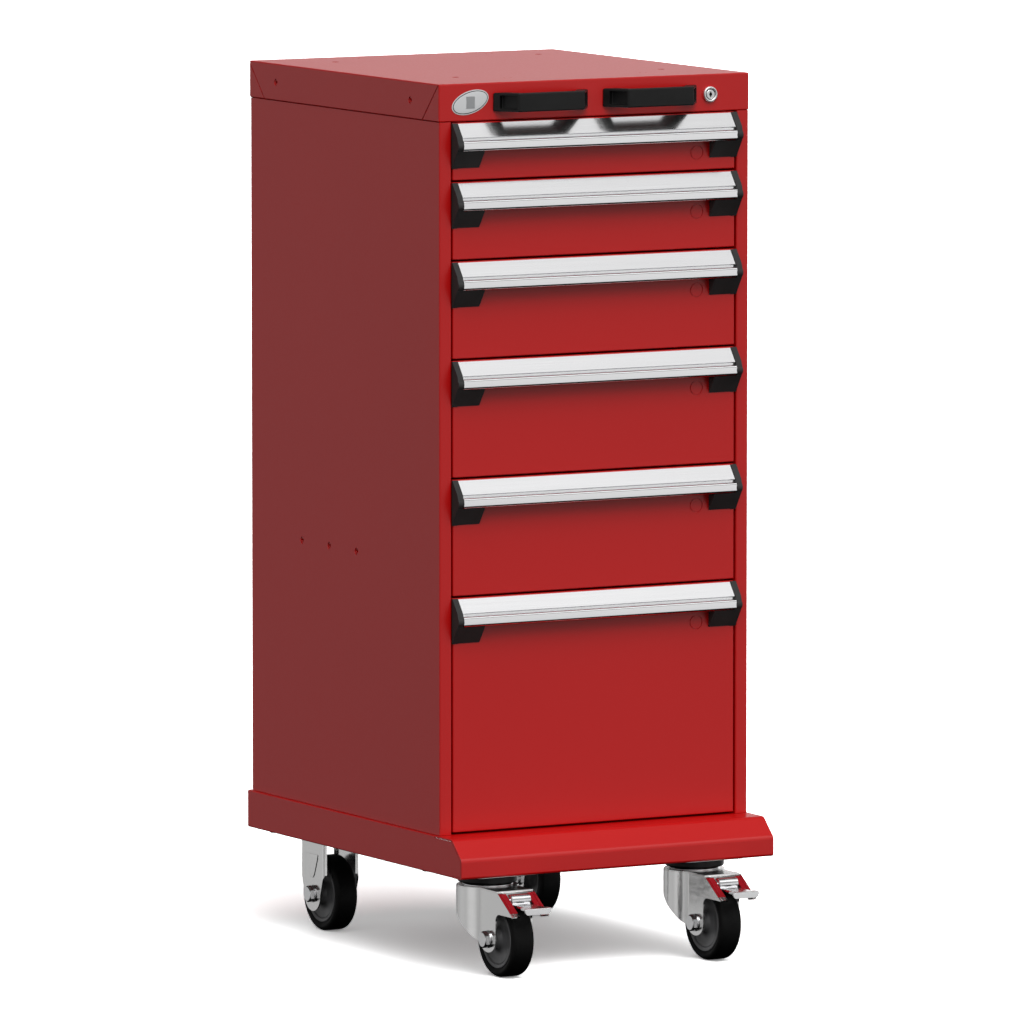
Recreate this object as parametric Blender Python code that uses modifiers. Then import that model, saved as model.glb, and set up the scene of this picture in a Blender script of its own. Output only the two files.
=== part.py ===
"""Rolling tool chest: a steel cabinet with six drawers on a mobile base with four casters.

Metres, +Z up. The origin is on the floor under the middle of the overall box. The chest's
front faces -Y and +X is its right, seen from the front. "Depth" is the distance behind the
front face of the top cover, and on a caster "forward" means towards -Y.
"""
import math

import bmesh
import bpy
from mathutils import Matrix

MM = 0.001
INCH = 25.4 * MM
GAP = 0.3 * MM

# Driving dimensions of the cabinet
LID_WIDTH = 18 * INCH
LID_DEPTH = 515 * MM
LID_HEIGHT = 48.4 * MM
LID_SHEET = 1.5 * MM
LID_FLANGE = 9 * MM
DRAWER_PITCHES = [count * INCH for count in (3, 4, 5, 6, 6, 12)]
SHELL_SHEET = 1.2 * MM
SHELL_INSET = 0.7 * MM
SHELL_BACK = 513.4 * MM
POST_WIDTH = 17.4 * MM
POST_RETURN = 30 * MM
BACK_RETURN = 22 * MM
BEND = 2 * MM

# Holes, placed by X, by depth or by their drop below the cover's top
COVER_HOLE_X = (-145.1 * MM, 159.4 * MM)
COVER_HOLE_DEPTHS = (107 * MM, 432 * MM)
COVER_SIDE_HOLE_DEPTHS = (76 * MM, 441 * MM)
COVER_SIDE_HOLE_DROP = 24.4 * MM
COVER_HOLE_RADIUS = 4.75 * MM
PANEL_HOLE_DEPTHS = (223.2 * MM, 297.5 * MM, 372.1 * MM)
PANEL_HOLE_DROP = 619 * MM
PANEL_HOLE_RADIUS = 4.5 * MM
PUNCH = 5 * MM

# Mobile base and its front bumper
BASE_BOTTOM = 132.2 * MM
BASE_HEIGHT = 49.3 * MM
BASE_OVERHANG = 2.6 * MM
BASE_BACK = 520.2 * MM
BASE_SHEET = 2.5 * MM
BASE_BEND = 3.5 * MM
BASE_FLANGE = 131 * MM
LEDGE_FRONT = -37.8 * MM
BUMPER_FRONT = -63.3 * MM
BUMPER_SLOPE_DROP = 24.4 * MM
BUMPER_TUCK = 8 * MM
BUMPER_RETURN = 23 * MM

# Casters
WHEEL_RADIUS = 50 * MM
WHEEL_BORE = 6.7 * MM
CASTER_X = 153.6 * MM
SWIVEL_DEPTH = 7.9 * MM
SWIVEL_TRAIL = 48.2 * MM
REAR_DEPTH = 434.5 * MM
FORK_HALF_WIDTH = 27 * MM
FORK_SHEET = 2.2 * MM
FORK_TOP = 114 * MM
FORK_BACK_RADIUS = 39 * MM
AXLE_RADIUS = 6 * MM
AXLE_HOLE = 6.5 * MM
HEX_RADIUS = 19 * MM / math.sqrt(3)
HEX_HEIGHT = 8 * MM
PLATE_HALF = (42.5 * MM, 52.5 * MM)
TOE_FORWARD = 133.6 * MM
PEDAL_FORWARD = 82 * MM
PEDAL_HEIGHT = 103 * MM
PEDAL_SHAFT = 3 * MM
NOSE_STRIP = ((76.3, 111.4), (113.6, 85.9), (112.4, 84.1), (75.1, 109.6))

# Heights and places that follow
BASE_TOP = BASE_BOTTOM + BASE_HEIGHT
STACK_BOTTOM = BASE_TOP + 1.6 * MM
STACK_TOP = STACK_BOTTOM + sum(DRAWER_PITCHES)
LID_TOP = STACK_TOP + LID_HEIGHT
FRONT_Y = (TOE_FORWARD - SWIVEL_DEPTH - BASE_BACK) / 2
SHELL_X = LID_WIDTH / 2 - SHELL_INSET
OPENING_X = SHELL_X - POST_WIDTH
BASE_X = LID_WIDTH / 2 + BASE_OVERHANG

# Drawers, in a frame whose origin is the middle of the drawer's top front edge
FRONT_RECESS = 1 * MM
FRONT_X = OPENING_X - 2.6 * MM
FRONT_THICK = 12 * MM
FRONT_EDGE = 1.25 * MM
BOX_X = 15 * INCH / 2
BOX_BACK = 469 * MM
BOX_TOP_DROP = 12 * MM
BOX_FLOOR_RISE = 8 * MM
HANDLE_X = 201.5 * MM
CAP_OUTER_X = OPENING_X - 0.6 * MM
CAP_BLOCK_WIDTH = 40 * MM
LIP_BOTTOM = 37.2 * MM
CAP_BOTTOM = 60 * MM

# Slides: a roller carriage runs between a channel on the frame and one on the drawer
RAIL_RISE = 16 * MM
CHANNEL_INNER = 8.4 * MM
CHANNEL_SHEET = 1.5 * MM
CHANNEL_OUTER = CHANNEL_INNER + CHANNEL_SHEET
FRAME_WEB_X = 221.6 * MM
FRAME_CHANNEL_MOUTH = 208 * MM
DRAWER_CHANNEL_MOUTH = 201.5 * MM
CARRIAGE_X = (203.2 * MM, 205.8 * MM)
ROLLER_RADIUS = 7.9 * MM
RAIL_DEPTHS = (62 * MM, 492 * MM)
CARRIAGE_DEPTHS = (47 * MM, 480 * MM)
INNER_ROLLER_DEPTHS = (59 * MM, 244 * MM)
OUTER_ROLLER_DEPTHS = (289 * MM, 468 * MM)
ROLLER_REACH_X = (192.8 * MM, 218.5 * MM)
UPRIGHT_DEPTHS = (62 * MM, 430 * MM)
UPRIGHT_WIDTH = 30 * MM
BAR_GUIDE_HEIGHTS = (STACK_TOP - 30 * MM, BASE_TOP + 150 * MM)

# Lock in the cover's front, and the locking bar beside the drawers
LOCK_X = 169.7 * MM
LOCK_Z = LID_TOP - 26.1 * MM
LOCK_HOLE = 9.4 * MM
CAM_DEPTH = 31 * MM
CAM_REACH = 14 * MM
PIN_RADIUS = 2 * MM
BAR_X = (214.5 * MM, 216.5 * MM)
BAR_DEPTHS = (36 * MM, 56 * MM)
BAR_ARM_DEPTHS = (38 * MM, 40.5 * MM)

# Pull handles on the cover's front
PULL_X = 80.5 * MM
PULL_Z = LID_TOP - 25 * MM
PULL_HALF = 70 * MM
PULL_SLANT = 22 * MM
PULL_REACH = 31 * MM
PULL_HEIGHT = 24 * MM
PULL_GRIP = 10 * MM
PULL_FOOT = 18 * MM
PULL_INNER = 32 * MM

FINISHES = {
    "red_paint": ((0.43, 0.017, 0.019), 0.35, 0.0),
    "aluminium": ((0.80, 0.80, 0.82), 0.30, 1.0),
    "black_plastic": ((0.015, 0.015, 0.016), 0.45, 0.0),
    "zinc_steel": ((0.55, 0.56, 0.58), 0.40, 1.0),
    "chrome": ((0.75, 0.75, 0.77), 0.12, 1.0),
    "grey_wheel": ((0.03, 0.03, 0.032), 0.55, 0.0),
}

SIDES = {"left": -1, "right": 1}
PLANES = {
    "X": Matrix(((0, 0, 1), (1, 0, 0), (0, 1, 0))).to_4x4(),
    "Y": Matrix(((0, 1, 0), (0, 0, 1), (1, 0, 0))).to_4x4(),
    "Z": Matrix.Identity(4),
}


# ---------------------------------------------------------------- modelling helpers

def clear_scene():
    for obj in list(bpy.data.objects):
        bpy.data.objects.remove(obj, do_unlink=True)


def work_object(data):
    obj = bpy.data.objects.new("work", data)
    bpy.context.scene.collection.objects.link(obj)
    return obj


def from_bmesh(bm, matrix=Matrix.Identity(4), outward=True):
    bmesh.ops.transform(bm, matrix=matrix, verts=bm.verts)
    if outward:
        bmesh.ops.recalc_face_normals(bm, faces=bm.faces)
    mesh = bpy.data.meshes.new("work")
    bm.to_mesh(mesh)
    bm.free()
    return work_object(mesh)


def bake(obj):
    """Turn an object's modifiers into its mesh."""
    bpy.context.view_layer.update()
    evaluated = obj.evaluated_get(bpy.context.evaluated_depsgraph_get())
    mesh = bpy.data.meshes.new_from_object(evaluated)
    obj.modifiers.clear()
    obj.data = mesh
    return obj


def weld(obj):
    bm = bmesh.new()
    bm.from_mesh(obj.data)
    bmesh.ops.remove_doubles(bm, verts=bm.verts, dist=1e-6)
    bmesh.ops.recalc_face_normals(bm, faces=bm.faces)
    bm.to_mesh(obj.data)
    bm.free()
    return obj


def combine(operation, target, operands):
    """Apply an exact Boolean to the target with each operand, and use the operands up."""
    for operand in operands:
        modifier = target.modifiers.new(operation.lower(), "BOOLEAN")
        modifier.operation = operation
        modifier.solver = "EXACT"
        modifier.object = operand
        bake(target)
        bpy.data.objects.remove(operand, do_unlink=True)
    return target


def unite(target, *operands):
    return combine("UNION", target, operands)


def cut(target, *operands):
    return combine("DIFFERENCE", target, operands)


def bevel(obj, width, segments):
    modifier = obj.modifiers.new("bevel", "BEVEL")
    modifier.width = width
    modifier.segments = segments
    modifier.limit_method = "ANGLE"
    modifier.angle_limit = math.radians(25)
    return bake(obj)


def solidify(obj, thickness, offset):
    modifier = obj.modifiers.new("sheet", "SOLIDIFY")
    modifier.thickness = thickness
    modifier.offset = offset
    modifier.use_even_offset = True
    return bake(obj)


def box(low, high):
    bm = bmesh.new()
    middle = [(a + b) / 2 for a, b in zip(low, high)]
    size = [b - a for a, b in zip(low, high)]
    bmesh.ops.create_cube(bm, size=1)
    return from_bmesh(bm, Matrix.Translation(middle) @ Matrix.Diagonal((*size, 1)))


def mirrored_box(side, low, high):
    """A box on the right (side 1) or its mirror image on the left (side -1)."""
    ends = sorted((side * low[0], side * high[0]))
    return box((ends[0], *low[1:]), (ends[1], *high[1:]))


def cylinder(axis, centre, radius, low, high, sides=16):
    """A cylinder along an axis; centre holds the other two coordinates in cyclic order."""
    bm = bmesh.new()
    bmesh.ops.create_cone(bm, cap_ends=True, segments=sides, radius1=radius, radius2=radius,
                          depth=high - low)
    return from_bmesh(bm, PLANES[axis] @ Matrix.Translation((*centre, (low + high) / 2)))


def prism(axis, outline, low, high):
    """A flat outline given in the plane across an axis, made solid from low to high."""
    curve = bpy.data.curves.new("outline", "CURVE")
    curve.dimensions = "2D"
    curve.fill_mode = "BOTH"
    curve.extrude = (high - low) / 2
    spline = curve.splines.new("POLY")
    spline.points.add(len(outline) - 1)
    for point, (a, b) in zip(spline.points, outline):
        point.co = (a, b, 0, 1)
    spline.use_cyclic_u = True
    source = work_object(curve)
    bpy.context.view_layer.update()
    evaluated = source.evaluated_get(bpy.context.evaluated_depsgraph_get())
    mesh = bpy.data.meshes.new_from_object(evaluated)
    mesh.transform(PLANES[axis] @ Matrix.Translation((0, 0, (low + high) / 2)))
    bpy.data.objects.remove(source, do_unlink=True)
    return weld(work_object(mesh))


def folded_sheet(axis, path, low, high, thickness, metal, bend=BEND):
    """Sheet metal folded along a path; metal names the side of the path it lies on."""
    bm = bmesh.new()
    rows = [[bm.verts.new((a, b, level)) for a, b in path] for level in (low, high)]
    for start in range(len(path) - 1):
        bm.faces.new((rows[0][start], rows[0][start + 1], rows[1][start + 1], rows[1][start]))
    sheet = from_bmesh(bm, PLANES[axis], outward=False)
    if bend:
        bevel(sheet, bend, 2)
    return solidify(sheet, thickness, {"left": -1, "right": 1}[metal])


def open_tray(low, high, open_face, flange, thickness, bend):
    """A folded sheet box, open along +-Z or +-Y, with an optional flange round its mouth."""
    bm = bmesh.new()
    middle = [(a + b) / 2 for a, b in zip(low, high)]
    size = [b - a for a, b in zip(low, high)]
    bmesh.ops.create_cube(bm, size=1)
    bmesh.ops.transform(bm, verts=bm.verts,
                        matrix=Matrix.Translation(middle) @ Matrix.Diagonal((*size, 1)))
    bmesh.ops.recalc_face_normals(bm, faces=bm.faces)
    mouth = max(bm.faces, key=lambda face: sum(n * o for n, o in zip(face.normal, open_face)))
    if flange:
        bmesh.ops.inset_region(bm, faces=[mouth], thickness=flange)
    bmesh.ops.delete(bm, geom=[mouth], context="FACES_ONLY")
    tray = from_bmesh(bm, outward=False)
    if bend:
        bevel(tray, bend, 2)
    return solidify(tray, thickness, -1)


def turned(axis, centre, profile, sides):
    """A profile of (radius, height) points, closed or ending on the axis, turned about it."""
    mesh = bpy.data.meshes.new("profile")
    points = [(radius, 0, height) for radius, height in profile]
    edges = [(index, index + 1) for index in range(len(points) - 1)]
    if profile[0][0] > 0:
        edges.append((len(points) - 1, 0))
    mesh.from_pydata(points, edges, [])
    obj = work_object(mesh)
    modifier = obj.modifiers.new("turn", "SCREW")
    modifier.steps = sides
    modifier.render_steps = sides
    modifier.use_merge_vertices = True
    modifier.merge_threshold = 0.00001
    bake(obj)
    obj.data.transform(PLANES[axis] @ Matrix.Translation((*centre, 0)))
    return weld(obj)


def arc(centre, radii, start, end, count):
    """Points along part of an ellipse, angles in degrees."""
    angles = [math.radians(start + (end - start) * step / count) for step in range(count + 1)]
    return [(centre[0] + radii[0] * math.cos(a), centre[1] + radii[1] * math.sin(a)) for a in angles]


def offset_path(path, distance):
    """The path moved to its left by a distance, with mitred corners."""
    directions = []
    for (a0, b0), (a1, b1) in zip(path, path[1:]):
        length = math.hypot(a1 - a0, b1 - b0)
        directions.append(((a1 - a0) / length, (b1 - b0) / length))
    moved = []
    for index, (a, b) in enumerate(path):
        before = directions[max(index - 1, 0)]
        after = directions[min(index, len(directions) - 1)]
        scale = distance / (1 + before[0] * after[0] + before[1] * after[1])
        moved.append((a - (before[1] + after[1]) * scale, b + (before[0] + after[0]) * scale))
    return moved


def add_part(name, shape, finish, parent=None, keep_shape=False):
    """Make a named part of the chest from a work object, with its own material."""
    mesh = shape.data.copy()
    mesh.name = name
    mesh.shade_smooth()
    mesh.set_sharp_from_angle(angle=math.radians(35))
    colour, roughness, metallic = FINISHES[finish]
    material = bpy.data.materials.new(name + "_" + finish)
    material.use_nodes = True
    shader = material.node_tree.nodes["Principled BSDF"]
    shader.inputs["Base Color"].default_value = (*colour, 1)
    shader.inputs["Roughness"].default_value = roughness
    shader.inputs["Metallic"].default_value = metallic
    mesh.materials.clear()
    mesh.materials.append(material)
    part = bpy.data.objects.new(name, mesh)
    bpy.data.collections["rolling_tool_chest"].objects.link(part)
    part.parent = parent
    if not keep_shape:
        bpy.data.objects.remove(shape, do_unlink=True)
    return part


def add_pivot(name, location, parent=None):
    """An empty on a joint's axis, which its moving parts are parented to."""
    pivot = bpy.data.objects.new(name, None)
    pivot.location = location
    pivot.parent = parent
    bpy.data.collections["rolling_tool_chest"].objects.link(pivot)
    return pivot


def at(depth):
    """World Y of a depth behind the cover's front face."""
    return FRONT_Y + depth


# ---------------------------------------------------------------- cabinet shell

def top_cover():
    half = LID_WIDTH / 2
    cover = open_tray((-half, at(0), STACK_TOP), (half, at(LID_DEPTH), LID_TOP),
                      (0, 0, -1), LID_FLANGE, LID_SHEET, BEND)
    for x in COVER_HOLE_X:
        for depth in COVER_HOLE_DEPTHS:
            cut(cover, cylinder("Z", (x, at(depth)), COVER_HOLE_RADIUS, LID_TOP - PUNCH, LID_TOP + PUNCH))
    for side in SIDES.values():
        for depth in COVER_SIDE_HOLE_DEPTHS:
            ends = sorted((side * (half - PUNCH), side * (half + PUNCH)))
            cut(cover, cylinder("X", (at(depth), LID_TOP - COVER_SIDE_HOLE_DROP), COVER_HOLE_RADIUS, *ends))
    return cut(cover, cylinder("Y", (LOCK_Z, LOCK_X), LOCK_HOLE, at(-PUNCH), at(PUNCH), 20))


def side_panel(side):
    path = [(side * OPENING_X, at(POST_RETURN)), (side * OPENING_X, at(0)), (side * SHELL_X, at(0)),
            (side * SHELL_X, at(SHELL_BACK)), (side * (SHELL_X - BACK_RETURN), at(SHELL_BACK))]
    panel = folded_sheet("Z", path, BASE_TOP + GAP, STACK_TOP - GAP, SHELL_SHEET,
                         "left" if side > 0 else "right")
    ends = sorted((side * (SHELL_X - PUNCH), side * (SHELL_X + PUNCH)))
    for depth in PANEL_HOLE_DEPTHS:
        cut(panel, cylinder("X", (at(depth), LID_TOP - PANEL_HOLE_DROP), PANEL_HOLE_RADIUS, *ends))
    return panel


def back_panel():
    side_gap = 0.4 * MM
    half = SHELL_X - SHELL_SHEET - side_gap
    back = SHELL_BACK - SHELL_SHEET - GAP
    return box((-half, at(back - SHELL_SHEET), BASE_TOP + GAP), (half, at(back), STACK_TOP - GAP))


def bottom_panel():
    side_gap, post_gap, back_lip = 0.9 * MM, 1 * MM, 25 * MM
    half = SHELL_X - SHELL_SHEET - side_gap
    floor = BASE_TOP + GAP
    back = SHELL_BACK - 2 * SHELL_SHEET - 2 * GAP
    path = [(at(POST_RETURN + post_gap), floor), (at(back), floor), (at(back), floor + back_lip)]
    return folded_sheet("X", path, -half, half, SHELL_SHEET, "left")


# ---------------------------------------------------------------- drawer guides

def drawer_tops():
    """World height of each drawer's top boundary, from the top drawer down."""
    tops = [STACK_TOP]
    for pitch in DRAWER_PITCHES[:-1]:
        tops.append(tops[-1] - pitch)
    return tops


def rail_drop(pitch):
    """How far a drawer's slide lies below the drawer's top boundary."""
    return pitch - FRONT_EDGE - BOX_FLOOR_RISE - RAIL_RISE


def channel(side, height, web_x, mouth_x, start, end):
    """A C-section channel along Y with its web at web_x and its mouth at mouth_x."""
    path = [(height - CHANNEL_OUTER, side * mouth_x), (height - CHANNEL_OUTER, side * web_x),
            (height + CHANNEL_OUTER, side * web_x), (height + CHANNEL_OUTER, side * mouth_x)]
    opens_left = (mouth_x > web_x) == (side > 0)
    return folded_sheet("Y", path, start, end, CHANNEL_SHEET, "left" if opens_left else "right", 0)


def upright(side, depth):
    """A C-section post between the rails and the side panel."""
    skin_gap, rail_lap, foot_gap, head_gap = 0.5 * MM, 0.6 * MM, 2.5 * MM, 2 * MM
    outer_x = SHELL_X - SHELL_SHEET - skin_gap
    web_x = FRAME_WEB_X - rail_lap
    path = [(side * outer_x, at(depth)), (side * web_x, at(depth)),
            (side * web_x, at(depth + UPRIGHT_WIDTH)), (side * outer_x, at(depth + UPRIGHT_WIDTH))]
    return folded_sheet("Z", path, BASE_TOP + foot_gap, STACK_TOP - head_gap, CHANNEL_SHEET,
                        "right" if side > 0 else "left", 0)


def bar_guide(height):
    """A lug on the front upright that the locking bar slides against."""
    half_height, bar_gap, sheet, step = 10 * MM, 0.5 * MM, 1.6 * MM, 1 * MM
    front, back, foot_front, foot_back = (at(depth * MM) for depth in (34, 66, 64, 66.5))
    plate_x = BAR_X[1] + bar_gap
    plate = box((plate_x, front, height - half_height), (plate_x + sheet, back, height + half_height))
    foot = box((plate_x + step, foot_front, height - half_height + step),
               (FRAME_WEB_X + 0.2 * MM, foot_back, height + half_height - step))
    return unite(plate, foot)


def guide_frame(side):
    """Two uprights and the six channels that the carriages' outer rollers run in."""
    frame = upright(side, UPRIGHT_DEPTHS[0])
    rail_start = RAIL_DEPTHS[0] + 0.4 * MM
    rails = []
    for top, pitch in zip(drawer_tops(), DRAWER_PITCHES):
        rails.append(channel(side, top - rail_drop(pitch), FRAME_WEB_X, FRAME_CHANNEL_MOUTH,
                             at(rail_start), at(RAIL_DEPTHS[1])))
    unite(frame, *rails)
    unite(frame, upright(side, UPRIGHT_DEPTHS[1]))
    if side > 0:
        unite(frame, *[bar_guide(height) for height in BAR_GUIDE_HEIGHTS])
    return frame


# ---------------------------------------------------------------- mobile base

def bumper_path():
    return [(at(BUMPER_TUCK), BASE_TOP), (at(LEDGE_FRONT), BASE_TOP),
            (at(BUMPER_FRONT), BASE_TOP - BUMPER_SLOPE_DROP), (at(BUMPER_FRONT), BASE_BOTTOM),
            (at(BUMPER_FRONT + BUMPER_RETURN), BASE_BOTTOM)]


def base_bumper():
    return folded_sheet("X", bumper_path(), -BASE_X, BASE_X, BASE_SHEET, "left", BASE_BEND)


def base_tray():
    """Top plate, side walls and bottom flanges in one fold, behind the bumper, with a back wall."""
    flange_x = BASE_X - BASE_FLANGE
    path = [(BASE_BOTTOM, -flange_x), (BASE_BOTTOM, -BASE_X), (BASE_TOP, -BASE_X),
            (BASE_TOP, BASE_X), (BASE_BOTTOM, BASE_X), (BASE_BOTTOM, flange_x)]
    back = BASE_BACK - BASE_SHEET / 2
    tray = folded_sheet("Y", path, at(BUMPER_FRONT), at(back), BASE_SHEET, "left", BASE_BEND)
    clear = offset_path(bumper_path(), BASE_SHEET + 3 * GAP)
    start, end = at(BUMPER_TUCK) + GAP, at(BUMPER_FRONT + BUMPER_RETURN) + GAP
    margin = 10 * MM
    above, below, behind = BASE_TOP + margin, BASE_BOTTOM - margin, at(BASE_BACK + margin)
    outline = [(start, above), (start, clear[0][1]), *clear[1:4], (end, clear[4][1]),
               (end, below), (behind, below), (behind, above)]
    combine("INTERSECT", tray, [prism("X", outline, -BASE_X - margin, BASE_X + margin)])
    inset = 0.4 * MM
    wall = box((-BASE_X + inset, at(BASE_BACK - BASE_SHEET), BASE_BOTTOM + inset),
               (BASE_X - inset, at(BASE_BACK), BASE_TOP - inset))
    return unite(tray, wall)


# ---------------------------------------------------------------- drawers

def drawer_body(pitch):
    """Hollow front, open box and the two outward channels of a drawer."""
    bottom = -(pitch - FRONT_EDGE)
    front_gap, channel_lap, channel_start, channel_end = 0.6 * MM, 0.5 * MM, 19 * MM, BOX_BACK - 1.5 * MM
    front = open_tray((-FRONT_X, 0, bottom), (FRONT_X, FRONT_THICK, -FRONT_EDGE),
                      (0, 1, 0), 0, SHELL_SHEET, 0)
    bin_box = open_tray((-BOX_X, front_gap, bottom + BOX_FLOOR_RISE), (BOX_X, BOX_BACK, -BOX_TOP_DROP),
                        (0, 0, 1), 0, SHELL_SHEET, 0)
    unite(front, bin_box)
    for side in SIDES.values():
        unite(front, channel(side, -rail_drop(pitch), BOX_X - channel_lap, DRAWER_CHANNEL_MOUTH,
                             channel_start, channel_end))
    return front


def drawer_handle():
    """Aluminium section: a sloped label face that ends in a groove and a rounded lip."""
    top, slope_foot, groove_foot = -2.6 * MM, -19.9 * MM, -23.8 * MM
    lip_front, lip_back, lip_round = 18.5 * MM, 13.2 * MM, 3 * MM
    face_gap, web, groove = 0.3 * MM, 1.8 * MM, 12 * MM
    slope_front = 14.3 * MM
    lip_middle = lip_front - lip_round
    front = [(1.2 * MM, top), (slope_front, slope_foot), (groove, slope_foot - 0.8 * MM),
             (groove, groove_foot + 0.6 * MM)]
    lip = arc((lip_middle, groove_foot - lip_round), (lip_round, lip_round), 100, 0, 4)
    lip += arc((lip_middle, lip_round - LIP_BOTTOM), (lip_round, lip_round), 0, -90, 4)
    back = [(lip_back, -LIP_BOTTOM), (lip_back, -27 * MM), (groove - web, slope_foot - 3 * MM),
            (groove - web, slope_foot + 1 * MM), (face_gap + web, -7 * MM),
            (face_gap + web, -14 * MM), (face_gap, -14 * MM), (face_gap, top)]
    outline = [(-reach, height) for reach, height in front + lip + back]
    return prism("X", outline, -HANDLE_X, HANDLE_X)


def handle_cap(side):
    """Black end cap: a triangular cheek beside the handle and a slanted block under its lip."""
    face_gap = 0.3 * MM
    cheek = [(face_gap, -1.8 * MM), (2.2 * MM, -1.8 * MM), (15.6 * MM, -19.2 * MM),
             (19.7 * MM, -25.5 * MM), (19.7 * MM, -36.3 * MM), (17.2 * MM, -38.6 * MM),
             (1.0 * MM, -CAP_BOTTOM), (face_gap, -CAP_BOTTOM)]
    block_top = LIP_BOTTOM + 0.4 * MM
    block = [(face_gap, -block_top), (16.7 * MM, -block_top), (0.9 * MM, 0.5 * MM - CAP_BOTTOM),
             (face_gap, 0.5 * MM - CAP_BOTTOM)]
    cheek_ends = sorted((side * (HANDLE_X + 0.4 * MM), side * CAP_OUTER_X))
    block_ends = sorted((side * (CAP_OUTER_X - CAP_BLOCK_WIDTH), side * (CAP_OUTER_X - 0.5 * MM)))
    cap = prism("X", [(-reach, height) for reach, height in cheek], *cheek_ends)
    return unite(cap, prism("X", [(-reach, height) for reach, height in block], *block_ends))


def slide_carriage():
    """Two roller bars joined behind the drawer, in the drawer's frame, at slide height 0."""
    start, end = (depth - FRONT_RECESS for depth in CARRIAGE_DEPTHS)
    half_height, tie_half, tab_half, tab_length, lap = 8 * MM, 3 * MM, 4 * MM, 6 * MM, 0.4 * MM
    tie_x, tie_front, tie_back = CARRIAGE_X[0] + 1 * MM, end - 5 * MM, end - 1 * MM
    tie = box((-tie_x, tie_front, -tie_half), (tie_x, tie_back, tie_half))
    for side in SIDES.values():
        bar = mirrored_box(side, (CARRIAGE_X[0], start, -half_height), (CARRIAGE_X[1], end, half_height))
        tab_front = start + 1 * MM
        tab = mirrored_box(side, (CARRIAGE_X[1] - lap, tab_front, -tab_half),
                           (OPENING_X - 1 * MM, tab_front + tab_length, tab_half))
        inner_ends = sorted((side * ROLLER_REACH_X[0], side * (CARRIAGE_X[0] + lap)))
        outer_ends = sorted((side * (CARRIAGE_X[1] - lap), side * ROLLER_REACH_X[1]))
        rollers = [cylinder("X", (depth, 0), ROLLER_RADIUS, *ends, 10)
                   for ends, depths in ((inner_ends, INNER_ROLLER_DEPTHS), (outer_ends, OUTER_ROLLER_DEPTHS))
                   for depth in depths]
        unite(bar, tab, *rollers)
        unite(tie, bar)
    return tie


def build_drawers():
    handle = drawer_handle()
    caps = {name: handle_cap(side) for name, side in SIDES.items()}
    carriage = slide_carriage()
    for number, (top, pitch) in enumerate(zip(drawer_tops(), DRAWER_PITCHES), start=1):
        label = f"drawer_{number}"
        origin = add_pivot(label + "_slide", (0, at(FRONT_RECESS), top))
        add_part(label + "_body", drawer_body(pitch), "red_paint", origin)
        add_part(label + "_handle", handle, "aluminium", origin, keep_shape=True)
        for name, cap in caps.items():
            add_part(f"{label}_{name}_end_cap", cap, "black_plastic", origin, keep_shape=True)
        runner = add_pivot(label + "_carriage_slide", (0, at(FRONT_RECESS), top - rail_drop(pitch)))
        add_part(label + "_slide_carriage", carriage, "zinc_steel", runner, keep_shape=True)
    for shape in (handle, carriage, *caps.values()):
        bpy.data.objects.remove(shape, do_unlink=True)


# ---------------------------------------------------------------- pulls and lock

def pull_handle():
    """Black bridge handle in the frame of its middle on the cover's front face."""
    inside = PULL_GRIP - PULL_REACH
    outline = [(-PULL_HALF, -GAP), (PULL_SLANT - PULL_HALF, -PULL_REACH),
               (PULL_HALF - PULL_SLANT, -PULL_REACH), (PULL_HALF, -GAP),
               (PULL_HALF - PULL_FOOT, -GAP), (PULL_HALF - PULL_INNER, inside),
               (PULL_INNER - PULL_HALF, inside), (PULL_FOOT - PULL_HALF, -GAP)]
    handle = bevel(prism("Z", outline, -PULL_HEIGHT / 2, PULL_HEIGHT / 2), 1.5 * MM, 2)
    along, across, tall = 12.5 * MM, 7.5 * MM, 8.5 * MM
    slant = math.atan2(PULL_REACH, PULL_SLANT)
    for side in SIDES.values():
        pocket = box((-along, -across, -tall), (along, across, tall))
        middle = (side * (PULL_HALF - 0.6 * PULL_SLANT), -0.6 * PULL_REACH, 0)
        pocket.data.transform(Matrix.Translation(middle) @ Matrix.Rotation(side * slant, 4, "Z"))
        cut(handle, pocket)
    return handle


def lock_barrel():
    """Ring on the cover's face with its barrel behind it, bored for the plug."""
    ring, chamfer, body, bore, proud, length = (size * MM for size in (10.2, 1, 9.0, 6.4, 3.8, 26))
    profile = [(ring - chamfer, -proud), (ring, chamfer - proud), (ring, -GAP), (body, -GAP),
               (body, length), (bore, length), (bore, -proud)]
    barrel = turned("Y", (0, 0), profile, 20)
    barrel.data.transform(Matrix.Translation((0, at(0), 0)))
    return barrel


def lock_plug():
    """Key plug with its cam and drive pin, pointing to the right when unlocked."""
    radius, proud, root_radius, tip_radius, cam_sheet = (size * MM for size in (6, 3.2, 7.5, 4, 3))
    pin_end, key_high, key_wide, key_depth = (size * MM for size in (42, 4.2, 2.4, 0.5))
    plug = cylinder("Y", (0, 0), radius, at(-proud), at(CAM_DEPTH + 1 * MM), 16)
    root = arc((0, 0), (root_radius, root_radius), 165, 375, 8)
    tip = arc((0, CAM_REACH), (tip_radius, tip_radius), 15, 165, 4)
    cam = prism("Y", root + tip, at(CAM_DEPTH), at(CAM_DEPTH + cam_sheet))
    pin = cylinder("Y", (0, CAM_REACH), PIN_RADIUS, at(CAM_DEPTH + 2.5 * MM), at(pin_end), 12)
    keyhole = prism("Y", [(key_high, 0), (0, key_wide), (-key_high, 0), (0, -key_wide)],
                    at(-6 * MM), at(key_depth))
    return cut(unite(plug, cam, pin), keyhole)


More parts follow.
